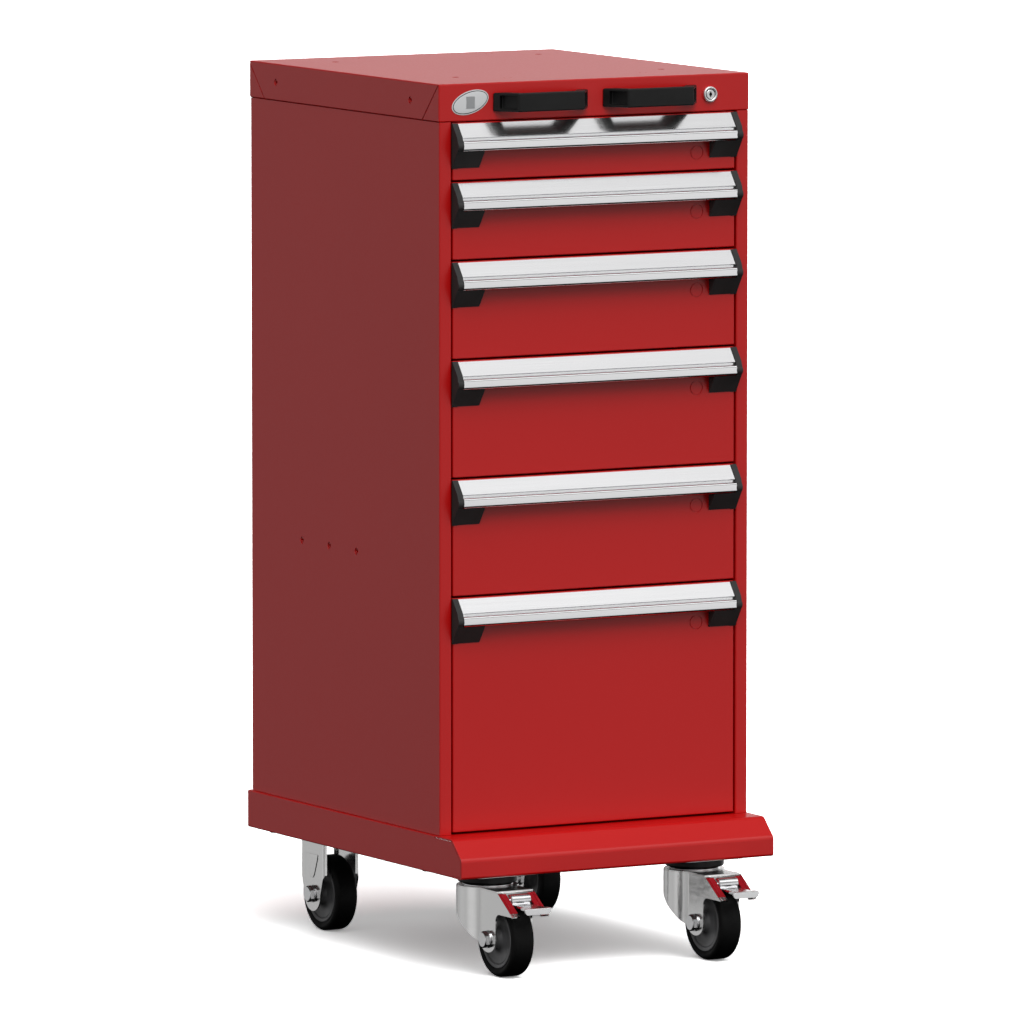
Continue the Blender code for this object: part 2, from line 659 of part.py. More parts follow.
def lock_bar():
    """Flat bar that the cam pushes down, with a finger in front of each right-hand carriage."""
    play, rim, lap = 3.3 * MM, 4 * MM, 0.5 * MM
    foot, head = BASE_TOP + 17 * MM, LOCK_Z + 7 * MM
    slot_low, slot_high = -PIN_RADIUS - play, PIN_RADIUS + GAP
    bar = box((BAR_X[0], at(BAR_DEPTHS[0]), foot), (BAR_X[1], at(BAR_DEPTHS[1]), head))
    arm = box((LOCK_X - 7 * MM, at(BAR_ARM_DEPTHS[0]), LOCK_Z + slot_low - rim),
              (BAR_X[1] - lap, at(BAR_ARM_DEPTHS[1]), LOCK_Z + slot_high + rim))
    slot = box((LOCK_X - PIN_RADIUS - GAP, at(30 * MM), LOCK_Z + slot_low),
               (LOCK_X + CAM_REACH + PIN_RADIUS + GAP, at(50 * MM), LOCK_Z + slot_high))
    fingers, finger_rise, finger_height = [], 5.5 * MM, 12 * MM
    for top, pitch in zip(drawer_tops(), DRAWER_PITCHES):
        low = top - rail_drop(pitch) + finger_rise
        fingers.append(box((CARRIAGE_X[1] + 1 * MM, at(40 * MM), low),
                           (BAR_X[0] + lap, at(46 * MM), low + finger_height)))
    return unite(bar, cut(arm, slot), *fingers)


# ---------------------------------------------------------------- casters, origin on the floor

def wheel():
    """Tyre, rim, web and hub as one turned piece about its own axle."""
    half = [(WHEEL_BORE / MM, 20), (13, 20), (16, 6), (32, 6), (36, 14), (46, 15.5), (49, 12), (50, 6)]
    profile = half + [(radius, -width) for radius, width in reversed(half)]
    return turned("X", (0, 0), [(radius * MM, width * MM) for radius, width in profile], 24)


def axle():
    """Bolt through the wheel with a hexagon head and nut outside the fork's legs."""
    seat = FORK_HALF_WIDTH + GAP
    shaft = cylinder("X", (0, 0), AXLE_RADIUS, -seat - 2 * MM, seat + 2 * MM, 16)
    head = cylinder("X", (0, 0), HEX_RADIUS, -seat - HEX_HEIGHT, -seat, 6)
    nut = cylinder("X", (0, 0), HEX_RADIUS, seat, seat + HEX_HEIGHT, 6)
    return unite(shaft, head, nut)


def mount_plate(under, top):
    return box((-PLATE_HALF[0], -PLATE_HALF[1], under), (*PLATE_HALF, top))


def front_head():
    """Mounting plate and round dust cover of a swivel caster, fixed to the base."""
    top = BASE_BOTTOM - GAP
    plate_under, radius, rim_radius, rim, under = top - 2.8 * MM, 38.5 * MM, 36.5 * MM, 120.5 * MM, 117.6 * MM
    lap = plate_under + 0.4 * MM
    cover = [(0, lap), (radius, lap), (radius, rim), (rim_radius, under), (0, under)]
    plate = mount_plate(plate_under, top)
    return unite(plate, turned("Z", (0, 0), cover, 24))


def fork_plan(half_width, radius, front):
    """Outline of the swivel fork from above: round behind, straight cheeks in front."""
    angle = math.degrees(math.acos(half_width / radius))
    return [(-half_width, -front), *arc((0, 0), (radius, radius), 180 + angle, -angle, 16),
            (half_width, -front)]


def fork_profile():
    """Side outline of the swivel fork as (forward, height) in mm: skirt, leg and pedal nose."""
    skirt = [(-42, 98), (-30, 92), (-19, 84.5), (-3, 71.5), (10, 60), (22, 50.5)]
    leg_half, leg_foot = 21, 17
    leg = arc((SWIVEL_TRAIL / MM, 50), (leg_half, leg_foot), 190, 360, 8)
    leg_front = leg[-1][0]
    nose = [(leg_front, 85), (113, 85.5), (76, 111), (73, 112.5)]
    return [(-forward * MM, height * MM) for forward, height in [(-42, 112.5), *skirt, *leg, *nose]]


def swivel_fork():
    nose_front = 115 * MM
    outer = fork_plan(FORK_HALF_WIDTH, FORK_BACK_RADIUS, nose_front)
    inner = fork_plan(FORK_HALF_WIDTH - FORK_SHEET, FORK_BACK_RADIUS - FORK_SHEET, nose_front)
    fork = prism("Z", outer + inner[::-1], 20 * MM, 120 * MM)
    combine("INTERSECT", fork, [prism("X", fork_profile(), -60 * MM, 60 * MM)])
    roof = fork_plan(FORK_HALF_WIDTH - 0.6 * MM, FORK_BACK_RADIUS - 0.6 * MM, 72 * MM)
    unite(fork, prism("Z", roof, FORK_TOP - 2.5 * MM, FORK_TOP))
    race_radius, race_top = 30 * MM, 117.2 * MM
    unite(fork, cylinder("Z", (0, 0), race_radius, FORK_TOP - 1 * MM, race_top, 24))
    strip_inside, strip_inset = 15.5 * MM, 0.7 * MM
    strip = [(-forward * MM, height * MM) for forward, height in NOSE_STRIP]
    for side in SIDES.values():
        ends = sorted((side * strip_inside, side * (FORK_HALF_WIDTH - strip_inset)))
        unite(fork, prism("X", strip, *ends))
    inside = FORK_HALF_WIDTH - FORK_SHEET - GAP
    notch = cylinder("X", (-PEDAL_FORWARD, PEDAL_HEIGHT), PEDAL_SHAFT + 2 * GAP, -inside, inside, 12)
    bore = cylinder("X", (-SWIVEL_TRAIL, WHEEL_RADIUS), AXLE_HOLE, -60 * MM, 60 * MM, 20)
    return cut(fork, notch, bore)


def brake_pedal():
    """Toe pedal about its own pivot: a roller between the fork's noses and a tongue with a lip."""
    forward = TOE_FORWARD - PEDAL_FORWARD
    roller_radius, roller_half, neck_half, toe_half = (size * MM for size in (8.5, 14.2, 13, 19))
    neck_top, plate, step, lip, lip_drop, toe_length = (size * MM for size in (-4.6, 2.5, 0.4, 3, 8, 12))
    roller = cylinder("X", (0, 0), roller_radius, -roller_half, roller_half, 16)
    shaft_end = FORK_HALF_WIDTH - FORK_SHEET - 2 * GAP
    shaft = cylinder("X", (0, 0), PEDAL_SHAFT, -shaft_end, shaft_end, 12)
    neck = box((-neck_half, lip - forward, neck_top - plate), (neck_half, -2 * MM, neck_top))
    under, lip_end, taper = neck_top - plate - step, neck_top - lip_drop, 0.2 * MM
    toe = [(toe_length - forward, neck_top + step), (toe_length - forward, under),
           (lip + taper - forward, under), (lip - taper - forward, lip_end),
           (-forward, lip_end), (-forward, neck_top + step)]
    return unite(roller, shaft, neck, prism("X", toe, -toe_half, toe_half))


def rigid_fork():
    """Plate and two straight legs of a fixed rear caster."""
    top = BASE_BOTTOM - GAP
    plate_under = top - 2.5 * MM
    fork = mount_plate(plate_under, top)
    leg_top, leg_half, foot_half, foot_drop, waist = (size * MM for size in (130, 30.5, 22, 23, 76))
    flange_inside, flange_sheet, flange_inset, flange_foot = (size * MM for size in (19, 2, 0.4, 79))
    foot = arc((0, WHEEL_RADIUS), (foot_half, foot_drop), 180, 360, 10)
    outline = [(-leg_half, leg_top), (-leg_half, waist), *foot, (leg_half, waist), (leg_half, leg_top)]
    for side in SIDES.values():
        ends = sorted((side * (FORK_HALF_WIDTH - FORK_SHEET), side * FORK_HALF_WIDTH))
        leg = prism("X", outline, *ends)
        for y in (-1, 1):
            outer = leg_half - flange_inset
            across = sorted((y * (outer - flange_sheet), y * outer))
            unite(leg, mirrored_box(side, (flange_inside, across[0], flange_foot),
                                    (FORK_HALF_WIDTH - 0.7 * MM, across[1], leg_top - 0.5 * MM)))
        unite(fork, leg)
    return cut(fork, cylinder("X", (0, WHEEL_RADIUS), AXLE_HOLE, -60 * MM, 60 * MM, 20))


def build_casters():
    shapes = {"head": front_head(), "fork": swivel_fork(), "rigid": rigid_fork(),
              "wheel": wheel(), "axle": axle(), "pedal": brake_pedal()}

    def stamp(name, shape, finish, pivot):
        add_part(name, shapes[shape], finish, pivot, keep_shape=True)

    for name, side in SIDES.items():
        front = f"front_{name}"
        swivel = add_pivot(front + "_swivel", (side * CASTER_X, at(SWIVEL_DEPTH), 0))
        stamp(front + "_caster_head", "head", "black_plastic", swivel)
        stamp(front + "_caster_fork", "fork", "chrome", swivel)
        hub = add_pivot(front + "_wheel_roll", (0, -SWIVEL_TRAIL, WHEEL_RADIUS), swivel)
        stamp(front + "_wheel", "wheel", "grey_wheel", hub)
        stamp(front + "_axle", "axle", "chrome", hub)
        pivot = add_pivot(front + "_brake", (0, -PEDAL_FORWARD, PEDAL_HEIGHT), swivel)
        stamp(front + "_brake_pedal", "pedal", "chrome", pivot)
        rear = f"rear_{name}"
        fixed = add_pivot(rear + "_caster", (side * CASTER_X, at(REAR_DEPTH), 0))
        stamp(rear + "_caster_fork", "rigid", "chrome", fixed)
        hub = add_pivot(rear + "_wheel_roll", (0, 0, WHEEL_RADIUS), fixed)
        stamp(rear + "_wheel", "wheel", "grey_wheel", hub)
        stamp(rear + "_axle", "axle", "chrome", hub)
    for shape in shapes.values():
        bpy.data.objects.remove(shape, do_unlink=True)


# ---------------------------------------------------------------- assembly

def build_cabinet():
    add_part("top_cover", top_cover(), "red_paint")
    add_part("back_panel", back_panel(), "red_paint")
    add_part("bottom_panel", bottom_panel(), "red_paint")
    for name, side in SIDES.items():
        add_part(f"{name}_side_panel", side_panel(side), "red_paint")
        add_part(f"{name}_guide_frame", guide_frame(side), "zinc_steel")
        mount = add_pivot(f"{name}_pull_mount", (side * PULL_X, at(0), PULL_Z))
        add_part(f"{name}_pull_handle", pull_handle(), "black_plastic", mount)
    add_part("mobile_base_tray", base_tray(), "red_paint")
    add_part("base_front_bumper", base_bumper(), "red_paint")


def build_lock():
    lock = add_pivot("lock_turn", (LOCK_X, 0, LOCK_Z))
    add_part("lock_barrel", lock_barrel(), "chrome", lock)
    add_part("lock_plug", lock_plug(), "chrome", lock)
    add_part("lock_bar", lock_bar(), "zinc_steel")


def main():
    clear_scene()
    chest = bpy.data.collections.new("rolling_tool_chest")
    bpy.context.scene.collection.children.link(chest)
    build_cabinet()
    build_lock()
    build_drawers()
    build_casters()


main()
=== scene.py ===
"""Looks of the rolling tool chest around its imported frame: metres, +Z up, front towards -Y."""
import math

import bmesh
import bpy
from mathutils import Matrix, Vector


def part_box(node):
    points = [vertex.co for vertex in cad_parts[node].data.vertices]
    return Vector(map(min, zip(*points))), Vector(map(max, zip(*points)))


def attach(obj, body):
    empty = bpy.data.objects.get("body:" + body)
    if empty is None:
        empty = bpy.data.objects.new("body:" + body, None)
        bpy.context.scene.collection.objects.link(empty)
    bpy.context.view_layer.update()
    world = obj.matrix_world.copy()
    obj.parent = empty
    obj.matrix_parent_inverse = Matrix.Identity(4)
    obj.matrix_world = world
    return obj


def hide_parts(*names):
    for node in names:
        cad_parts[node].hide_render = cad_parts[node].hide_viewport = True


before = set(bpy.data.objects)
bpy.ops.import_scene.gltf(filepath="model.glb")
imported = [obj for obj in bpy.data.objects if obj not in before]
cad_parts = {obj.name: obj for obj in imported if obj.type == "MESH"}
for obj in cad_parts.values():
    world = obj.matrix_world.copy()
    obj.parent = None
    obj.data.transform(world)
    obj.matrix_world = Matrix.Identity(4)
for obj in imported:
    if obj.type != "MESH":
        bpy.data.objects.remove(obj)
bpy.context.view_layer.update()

MM = 0.001
SIDES = {"left": -1, "right": 1}
PLANES = {
    "X": Matrix(((0, 0, 1), (1, 0, 0), (0, 1, 0))).to_4x4(),
    "Y": Matrix(((0, 1, 0), (0, 0, 1), (1, 0, 0))).to_4x4(),
    "Z": Matrix.Identity(4),
}

# Places that the frame gives
COVER_LOW, COVER_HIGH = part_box("top_cover")
TRAY_LOW, TRAY_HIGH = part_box("mobile_base_tray")
BUMPER_LOW, BUMPER_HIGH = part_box("base_front_bumper")
PANEL_LOW, PANEL_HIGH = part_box("left_side_panel")
FRONT_Y = COVER_LOW.y
LID_TOP = COVER_HIGH.z
STACK_TOP = COVER_LOW.z
SHELL_X = -PANEL_LOW.x
OPENING_X = SHELL_X - 17.4 * MM
BASE_X = TRAY_HIGH.x
BASE_TOP = TRAY_HIGH.z
BASE_BOTTOM = TRAY_LOW.z

# Drawers, in the frame of the middle of the top front edge
FRONT_EDGE = 1.25 * MM
BOX_X = 190.5 * MM
BOX_BACK = 469 * MM
BOX_TOP_DROP = 12 * MM
BOX_FLOOR_RISE = 8 * MM
HANDLE_X = 201.5 * MM
SLIDE_RISE = 24 * MM

# Casters
CASTER_X = 153.6 * MM
AXLE_HEIGHT = 50 * MM
PLATE_HALF_X = 42.5 * MM
PLATE_HALF_Y = 52.5 * MM
PLATE_TOP = BASE_BOTTOM - 0.3 * MM
FORK_HALF_WIDTH = 27 * MM
FORK_SHEET = 2.2 * MM
FORK_RADIUS = 40.4 * MM
ROOF_RADIUS = 39.8 * MM
SWIVEL_TRAIL = 48.2 * MM
PEDAL_FORWARD = 82 * MM
PEDAL_HEIGHT = 103 * MM
TOE_FORWARD = 133.6 * MM


def at(depth):
    """World Y of a depth behind the cover's front face."""
    return FRONT_Y + depth


def mm(points):
    return [(a * MM, b * MM) for a, b in points]


# Places behind and below the cover's front top edge
LOCK_X = 169.7 * MM
LOCK_Z = LID_TOP - 26.1 * MM
COVER_HOLES = (76 * MM, 441 * MM)
COVER_HOLE_Z = LID_TOP - 24.4 * MM
PANEL_HOLES = (223.2 * MM, 297.5 * MM, 372.1 * MM)
PANEL_HOLE_Z = LID_TOP - 619 * MM
SIDE_HOLE_RADIUS = 4.5 * MM
SWIVEL_Y = at(7.9 * MM)
REAR_Y = at(434.5 * MM)

# Studio
FLOOR_WHITE = 2.4
FLOOR_GLOW = 0.2
HORIZON_BAND = 0.43
BAND_EDGES = (0.1, 0.35)
WORLD_GLOWS = (  # azimuth, elevation, power, half-angle; angles in degrees
    (0, 42, 1.3, 36), (-45, 42, 0.95, 36),
    (-30, 52, 1.9, 22), (0, 52, 2.1, 22), (30, 52, 0.5, 22), (60, 32, 1.15, 22),
    (-30, 72, 0.8, 22), (0, 72, 1.0, 22), (30, 72, 0.6, 22),
    (46, 50, 0.55, 22), (45, 0, 0.45, 30), (135, 0, 1.1, 30),
    (-90, 0, 0.25, 30), (-135, 0, 0.1, 30), (165, 48, 0.4, 38),
)
CAMERA_LENS = 402.52
CAMERA_SENSOR = 36
CAMERA_PLACE = (-7.23695, -12.93056, 2.17822)
CAMERA_ANGLES = (83.7995, 0, -29.195)


# ---------------------------------------------------------------- materials

def add_node(tree, kind, **values):
    """A shader node; values name its inputs or its own settings, with _ for a space."""
    node = tree.nodes.new(kind)
    for key, value in values.items():
        socket = key.replace("_", " ")
        if socket in node.inputs:
            node.inputs[socket].default_value = value
        else:
            setattr(node, key, value)
    return node


def new_material(name, colour, roughness, metallic=0.0, **constants):
    material = bpy.data.materials.new(name)
    material.use_nodes = True
    shader = material.node_tree.nodes["Principled BSDF"]
    shader.inputs["Base Color"].default_value = (*colour, 1)
    shader.inputs["Roughness"].default_value = roughness
    shader.inputs["Metallic"].default_value = metallic
    for key, value in constants.items():
        shader.inputs[key.replace("_", " ")].default_value = value
    return material, material.node_tree, shader


def grain(tree, scale, stretch=(1, 1, 1), detail=3.0):
    """Noise in the piece's own coordinates, finer along the axes with the larger stretch."""
    coordinates = add_node(tree, "ShaderNodeTexCoord")
    mapping = add_node(tree, "ShaderNodeMapping", Scale=stretch)
    noise = add_node(tree, "ShaderNodeTexNoise", Scale=scale, Detail=detail)
    tree.links.new(coordinates.outputs["Object"], mapping.inputs["Vector"])
    tree.links.new(mapping.outputs["Vector"], noise.inputs["Vector"])
    return noise.outputs["Fac"]


def spread(tree, factor, low, high):
    """The middle of a noise's range turned into values from low to high."""
    remap = add_node(tree, "ShaderNodeMapRange", From_Min=0.3, From_Max=0.7, To_Min=low, To_Max=high)
    tree.links.new(factor, remap.inputs["Value"])
    return remap.outputs["Result"]


def tint(tree, shader, factor, first, second):
    """Base colour that varies between two close colours."""
    mix = add_node(tree, "ShaderNodeMix", data_type="RGBA")
    mix.inputs[6].default_value = (*first, 1)
    mix.inputs[7].default_value = (*second, 1)
    tree.links.new(spread(tree, factor, 0, 1), mix.inputs["Factor"])
    tree.links.new(mix.outputs[2], shader.inputs["Base Color"])


def emboss(tree, shader, heights):
    """Chain bumps given as (height, distance in metres, strength)."""
    last = None
    for height, distance, strength in heights:
        bump = add_node(tree, "ShaderNodeBump", Distance=distance, Strength=strength)
        tree.links.new(height, bump.inputs["Height"])
        if last:
            tree.links.new(last, bump.inputs["Normal"])
        last = bump.outputs["Normal"]
    tree.links.new(last, shader.inputs["Normal"])


def powder_coat(name, colour, roughness):
    """Satin powder coat: a fine orange peel and a faint drift in colour and gloss."""
    material, tree, shader = new_material(name, colour, roughness, Specular_IOR_Level=0.5)
    darker = tuple(channel * 0.98 for channel in colour)
    tint(tree, shader, grain(tree, 5), colour, darker)
    gloss = spread(tree, grain(tree, 300), roughness - 0.02, roughness + 0.02)
    tree.links.new(gloss, shader.inputs["Roughness"])
    emboss(tree, shader, [(grain(tree, 600, detail=2), 0.01 * MM, 0.2)])
    return material


def brushed(name, colour, stretch, roughness):
    """Metal brushed along one axis."""
    material, tree, shader = new_material(name, colour, roughness, 1.0)
    lines = grain(tree, 1, stretch, 4)
    tint(tree, shader, lines, tuple(channel * 0.97 for channel in colour), colour)
    tree.links.new(spread(tree, lines, roughness - 0.02, roughness + 0.03), shader.inputs["Roughness"])
    emboss(tree, shader, [(lines, 0.001 * MM, 0.1)])
    return material


def plated(name, colour, roughness, wave):
    """Bright plated sheet with the slight waviness of pressed steel and faint rubbing marks."""
    material, tree, shader = new_material(name, colour, roughness, 1.0)
    rubs = grain(tree, 60, (1, 1, 4), 5)
    tint(tree, shader, rubs, tuple(channel * 0.93 for channel in colour), colour)
    tree.links.new(spread(tree, rubs, roughness - 0.03, roughness + 0.07), shader.inputs["Roughness"])
    emboss(tree, shader, [(grain(tree, 45, detail=1), wave, 0.3), (grain(tree, 900), 0.02 * MM, 0.15)])
    return material


def zinc(name):
    """Zinc plated steel with a faint yellowish and bluish passivation."""
    material, tree, shader = new_material(name, (0.6, 0.6, 0.61), 0.36, 1.0)
    tint(tree, shader, grain(tree, 18), (0.56, 0.58, 0.63), (0.66, 0.64, 0.57))
    tree.links.new(spread(tree, grain(tree, 120), 0.28, 0.46), shader.inputs["Roughness"])
    emboss(tree, shader, [(grain(tree, 500), 0.03 * MM, 0.2)])
    return material


def moulded(name, colour, roughness, scale, depth, gloss):
    """Moulded plastic or rubber with a fine eroded texture."""
    material, tree, shader = new_material(name, colour, roughness, Specular_IOR_Level=gloss)
    tint(tree, shader, grain(tree, 25), colour, tuple(channel * 1.35 for channel in colour))
    tree.links.new(spread(tree, grain(tree, 90), roughness - 0.06, roughness + 0.08),
                   shader.inputs["Roughness"])
    emboss(tree, shader, [(grain(tree, scale, detail=4), depth, 0.5)])
    return material


RED = (0.55, 0.001, 0.001)
PAINT = powder_coat("red_powder_coat", RED, 0.36)
STRIP_RED = powder_coat("brake_red_lacquer", (0.3, 0.006, 0.012), 0.2)
ALUMINIUM = brushed("brushed_aluminium", (0.93, 0.93, 0.94), (5, 900, 900), 0.17)
SILVER = brushed("badge_silver", (0.42, 0.43, 0.44), (900, 5, 5), 0.3)
CHROME = plated("bright_chrome", (0.96, 0.955, 0.95), 0.18, 0.05 * MM)
TURNED_CHROME = plated("turned_chrome", (0.9, 0.9, 0.91), 0.2, 0.01 * MM)
SATIN = plated("satin_nickel", (0.92, 0.92, 0.92), 0.38, 0.01 * MM)
ZINC = zinc("zinc_plate")
PLASTIC = moulded("black_moulded_plastic", (0.006, 0.006, 0.006), 0.42, 1500, 0.03 * MM, 0.3)
# Black plastic made lighter than the pulls' plastic: painted light for the floor's glow that the caps
# reflect.
CAP_PLASTIC = moulded("black_cap_plastic_with_painted_light", (0.035, 0.035, 0.035), 0.5, 1500, 0.03 * MM, 0.1)
RUBBER = moulded("black_tyre_rubber", (0.002, 0.002, 0.002), 0.6, 700, 0.05 * MM, 0.2)
RIM = moulded("dark_grey_rim", (0.12, 0.12, 0.123), 0.4, 1200, 0.03 * MM, 0.4)
ENAMEL = powder_coat("badge_enamel", (0.72, 0.73, 0.74), 0.25)
# Near-black: the black badge border and base bolts, and painted shade in the lock's keyway.
DARK = moulded("black_and_painted_shade", (0.003, 0.003, 0.003), 0.7, 900, 0.03 * MM, 0.15)


# ---------------------------------------------------------------- modelling helpers

def work_object(data):
    obj = bpy.data.objects.new("work", data)
    bpy.context.scene.collection.objects.link(obj)
    return obj


def from_bmesh(bm, matrix=Matrix.Identity(4), outward=True):
    bmesh.ops.transform(bm, matrix=matrix, verts=bm.verts)
    if outward:
        bmesh.ops.recalc_face_normals(bm, faces=bm.faces)
    mesh = bpy.data.meshes.new("work")
    bm.to_mesh(mesh)
    bm.free()
    return work_object(mesh)


def bake(obj):
    """Turn an object's modifiers into its mesh."""
    bpy.context.view_layer.update()
    evaluated = obj.evaluated_get(bpy.context.evaluated_depsgraph_get())
    mesh = bpy.data.meshes.new_from_object(evaluated)
    obj.modifiers.clear()
    obj.data = mesh
    return obj


def weld(obj):
    bm = bmesh.new()
    bm.from_mesh(obj.data)
    bmesh.ops.remove_doubles(bm, verts=bm.verts, dist=1e-6)
    bmesh.ops.recalc_face_normals(bm, faces=bm.faces)
    bm.to_mesh(obj.data)
    bm.free()
    return obj


def combine(operation, target, operands):
    """Apply an exact Boolean to the target with each operand, and use the operands up."""
    for operand in operands:
        modifier = target.modifiers.new(operation.lower(), "BOOLEAN")
        modifier.operation = operation
        modifier.solver = "EXACT"
        modifier.object = operand
        bake(target)
        bpy.data.objects.remove(operand, do_unlink=True)
    return target


def unite(target, *operands):
    return combine("UNION", target, operands)


def cut(target, *operands):
    return combine("DIFFERENCE", target, operands)


def join(*shapes):
    """Put several work objects into one without merging their volumes."""
    bm = bmesh.new()
    for shape in shapes:
        bm.from_mesh(shape.data)
        bpy.data.objects.remove(shape, do_unlink=True)
    return from_bmesh(bm, outward=False)


def add_bevel(obj, width, segments, angle=32):
    modifier = obj.modifiers.new("bevel", "BEVEL")
    modifier.width = width
    modifier.segments = segments
    modifier.limit_method = "ANGLE"
    modifier.angle_limit = math.radians(angle)
    modifier.use_clamp_overlap = True
    return obj


def bevel(obj, width, segments):
    return bake(add_bevel(obj, width, segments, 25))


def solidify(obj, thickness, offset):
    modifier = obj.modifiers.new("sheet", "SOLIDIFY")
    modifier.thickness = thickness
    modifier.offset = offset
    modifier.use_even_offset = True
    return bake(obj)


def cube_bmesh(low, high):
    bm = bmesh.new()
    middle = [(a + b) / 2 for a, b in zip(low, high)]
    size = [b - a for a, b in zip(low, high)]
    bmesh.ops.create_cube(bm, size=1)
    bmesh.ops.transform(bm, verts=bm.verts,
                        matrix=Matrix.Translation(middle) @ Matrix.Diagonal((*size, 1)))
    bmesh.ops.recalc_face_normals(bm, faces=bm.faces)
    return bm


def box(low, high):
    return from_bmesh(cube_bmesh(low, high))


def mirrored_box(side, low, high):
    """A box on the right (side 1) or its mirror image on the left (side -1)."""
    ends = sorted((side * low[0], side * high[0]))
    return box((ends[0], *low[1:]), (ends[1], *high[1:]))


def cylinder(axis, centre, radius, low, high, sides=48):
    """A cylinder along an axis; centre holds the other two coordinates in cyclic order."""
    bm = bmesh.new()
    bmesh.ops.create_cone(bm, cap_ends=True, segments=sides, radius1=radius, radius2=radius,
                          depth=high - low)
    return from_bmesh(bm, PLANES[axis] @ Matrix.Translation((*centre, (low + high) / 2)))


def prism(axis, outline, low, high):
    """A flat outline given in the plane across an axis, made solid from low to high."""
    curve = bpy.data.curves.new("outline", "CURVE")
    curve.dimensions = "2D"
    curve.fill_mode = "BOTH"
    curve.extrude = (high - low) / 2
    spline = curve.splines.new("POLY")
    spline.points.add(len(outline) - 1)
    for point, (a, b) in zip(spline.points, outline):
        point.co = (a, b, 0, 1)
    spline.use_cyclic_u = True
    source = work_object(curve)
    bpy.context.view_layer.update()
    evaluated = source.evaluated_get(bpy.context.evaluated_depsgraph_get())
    mesh = bpy.data.meshes.new_from_object(evaluated)
    mesh.transform(PLANES[axis] @ Matrix.Translation((0, 0, (low + high) / 2)))
    bpy.data.objects.remove(source, do_unlink=True)
    return weld(work_object(mesh))


def folded_sheet(axis, path, low, high, thickness, metal, bend, segments=5):
    """Sheet metal folded along a path; metal names the side of the path it lies on."""
    bm = bmesh.new()
    rows = [[bm.verts.new((a, b, level)) for a, b in path] for level in (low, high)]
    for start in range(len(path) - 1):
        bm.faces.new((rows[0][start], rows[0][start + 1], rows[1][start + 1], rows[1][start]))
    sheet = bevel(from_bmesh(bm, PLANES[axis], outward=False), bend, segments)
    return solidify(sheet, thickness, {"left": -1, "right": 1}[metal])


def open_tray(low, high, open_face, flange, thickness, bend):
    """A folded sheet box, open on one face, with an optional flange round its mouth."""
    bm = cube_bmesh(low, high)
    mouth = max(bm.faces, key=lambda face: face.normal.dot(Vector(open_face)))
    if flange:
        bmesh.ops.inset_region(bm, faces=[mouth], thickness=flange)
    bmesh.ops.delete(bm, geom=[mouth], context="FACES_ONLY")
    return solidify(bevel(from_bmesh(bm, outward=False), bend, 4), thickness, -1)


def turned(axis, centre, profile, sides=72):
    """A profile of (radius, height) points, closed or ending on the axis, turned about it."""
    mesh = bpy.data.meshes.new("profile")
    edges = [(index, index + 1) for index in range(len(profile) - 1)]
    if profile[0][0] > 0:
        edges.append((len(profile) - 1, 0))
    mesh.from_pydata([(radius, 0, height) for radius, height in profile], edges, [])
    obj = work_object(mesh)
    modifier = obj.modifiers.new("turn", "SCREW")
    modifier.steps = sides
    modifier.render_steps = sides
    modifier.use_merge_vertices = True
    modifier.merge_threshold = 0.00001
    bake(obj)
    obj.data.transform(PLANES[axis] @ Matrix.Translation((*centre, 0)))
    return weld(obj)


def arc(centre, radii, start, end, count):
    """Points along part of an ellipse, angles in degrees."""
    angles = [math.radians(start + (end - start) * step / count) for step in range(count + 1)]
    return [(centre[0] + radii[0] * math.cos(a), centre[1] + radii[1] * math.sin(a)) for a in angles]


def offset_path(path, distance):
    """The path moved to its left by a distance, with mitred corners."""
    directions = []
    for (a0, b0), (a1, b1) in zip(path, path[1:]):
        length = math.hypot(a1 - a0, b1 - b0)
        directions.append(((a1 - a0) / length, (b1 - b0) / length))
    moved = []
    for index, (a, b) in enumerate(path):
        before = directions[max(index - 1, 0)]
        after = directions[min(index, len(directions) - 1)]
        scale = distance / (1 + before[0] * after[0] + before[1] * after[1])
        moved.append((a - (before[1] + after[1]) * scale, b + (before[0] + after[0]) * scale))
    return moved


def hex_screw(axis, centre, across, seat, height, direction=1):
    """Hexagon head standing on its seat, with a turned chamfer and a washer face."""
    radius = across / math.sqrt(3)
    top = seat + direction * height
    head = cylinder(axis, centre, radius, *sorted((seat + direction * 0.6 * MM, top)), 6)
    dome = [(0, seat), (radius * 1.05, seat), (radius * 1.05, top - direction * radius * 0.16),
            (across / 2 * 0.97, top), (0, top)]
    combine("INTERSECT", head, [turned(axis, centre, dome, 48)])
    return unite(head, cylinder(axis, centre, across * 0.5, *sorted((seat, seat + direction * 0.8 * MM))))


def finish_piece(name, shape, material, body, node=None, edge=0.3 * MM,
                 offset=(0, 0, 0), keep_shape=False, segments=2):
    """Make a named piece of the chest from a work object and let it ride on a body."""
    mesh = shape.data.copy()
    mesh.name = name
    mesh.transform(Matrix.Translation(offset))
    mesh.materials.clear()
    mesh.materials.append(material)
    mesh.shade_smooth()
    piece = bpy.data.objects.new(name, mesh)
    bpy.context.scene.collection.objects.link(piece)
    if edge:
        add_bevel(piece, edge, segments)
    else:
        mesh.set_sharp_from_angle(angle=math.radians(30))
    smooth = piece.modifiers.new("weighted_normals", "WEIGHTED_NORMAL")
    smooth.keep_sharp = not edge
    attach(piece, body)
    if node:
        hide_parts(node)
    if not keep_shape:
        bpy.data.objects.remove(shape, do_unlink=True)
    return piece


# ---------------------------------------------------------------- cabinet shell

def cover_seam(side, end):
    """Cutter for the line where the cover's front or back corner flap meets its side."""
    face_y = (COVER_LOW.y, COVER_HIGH.y)[end]
    inboard = (1, -1)[end]
    width, depth, run = 2.2 * MM, 1.3 * MM, 45 * MM
    line = [(face_y + inboard * 0.6 * MM, LID_TOP - 1 * MM), (face_y + inboard * run, STACK_TOP - 1 * MM)]
    outline = line + [(y + width, z) for y, z in reversed(line)]
    return prism("X", outline, *sorted((side * (COVER_HIGH.x - depth), side * (COVER_HIGH.x + depth))))


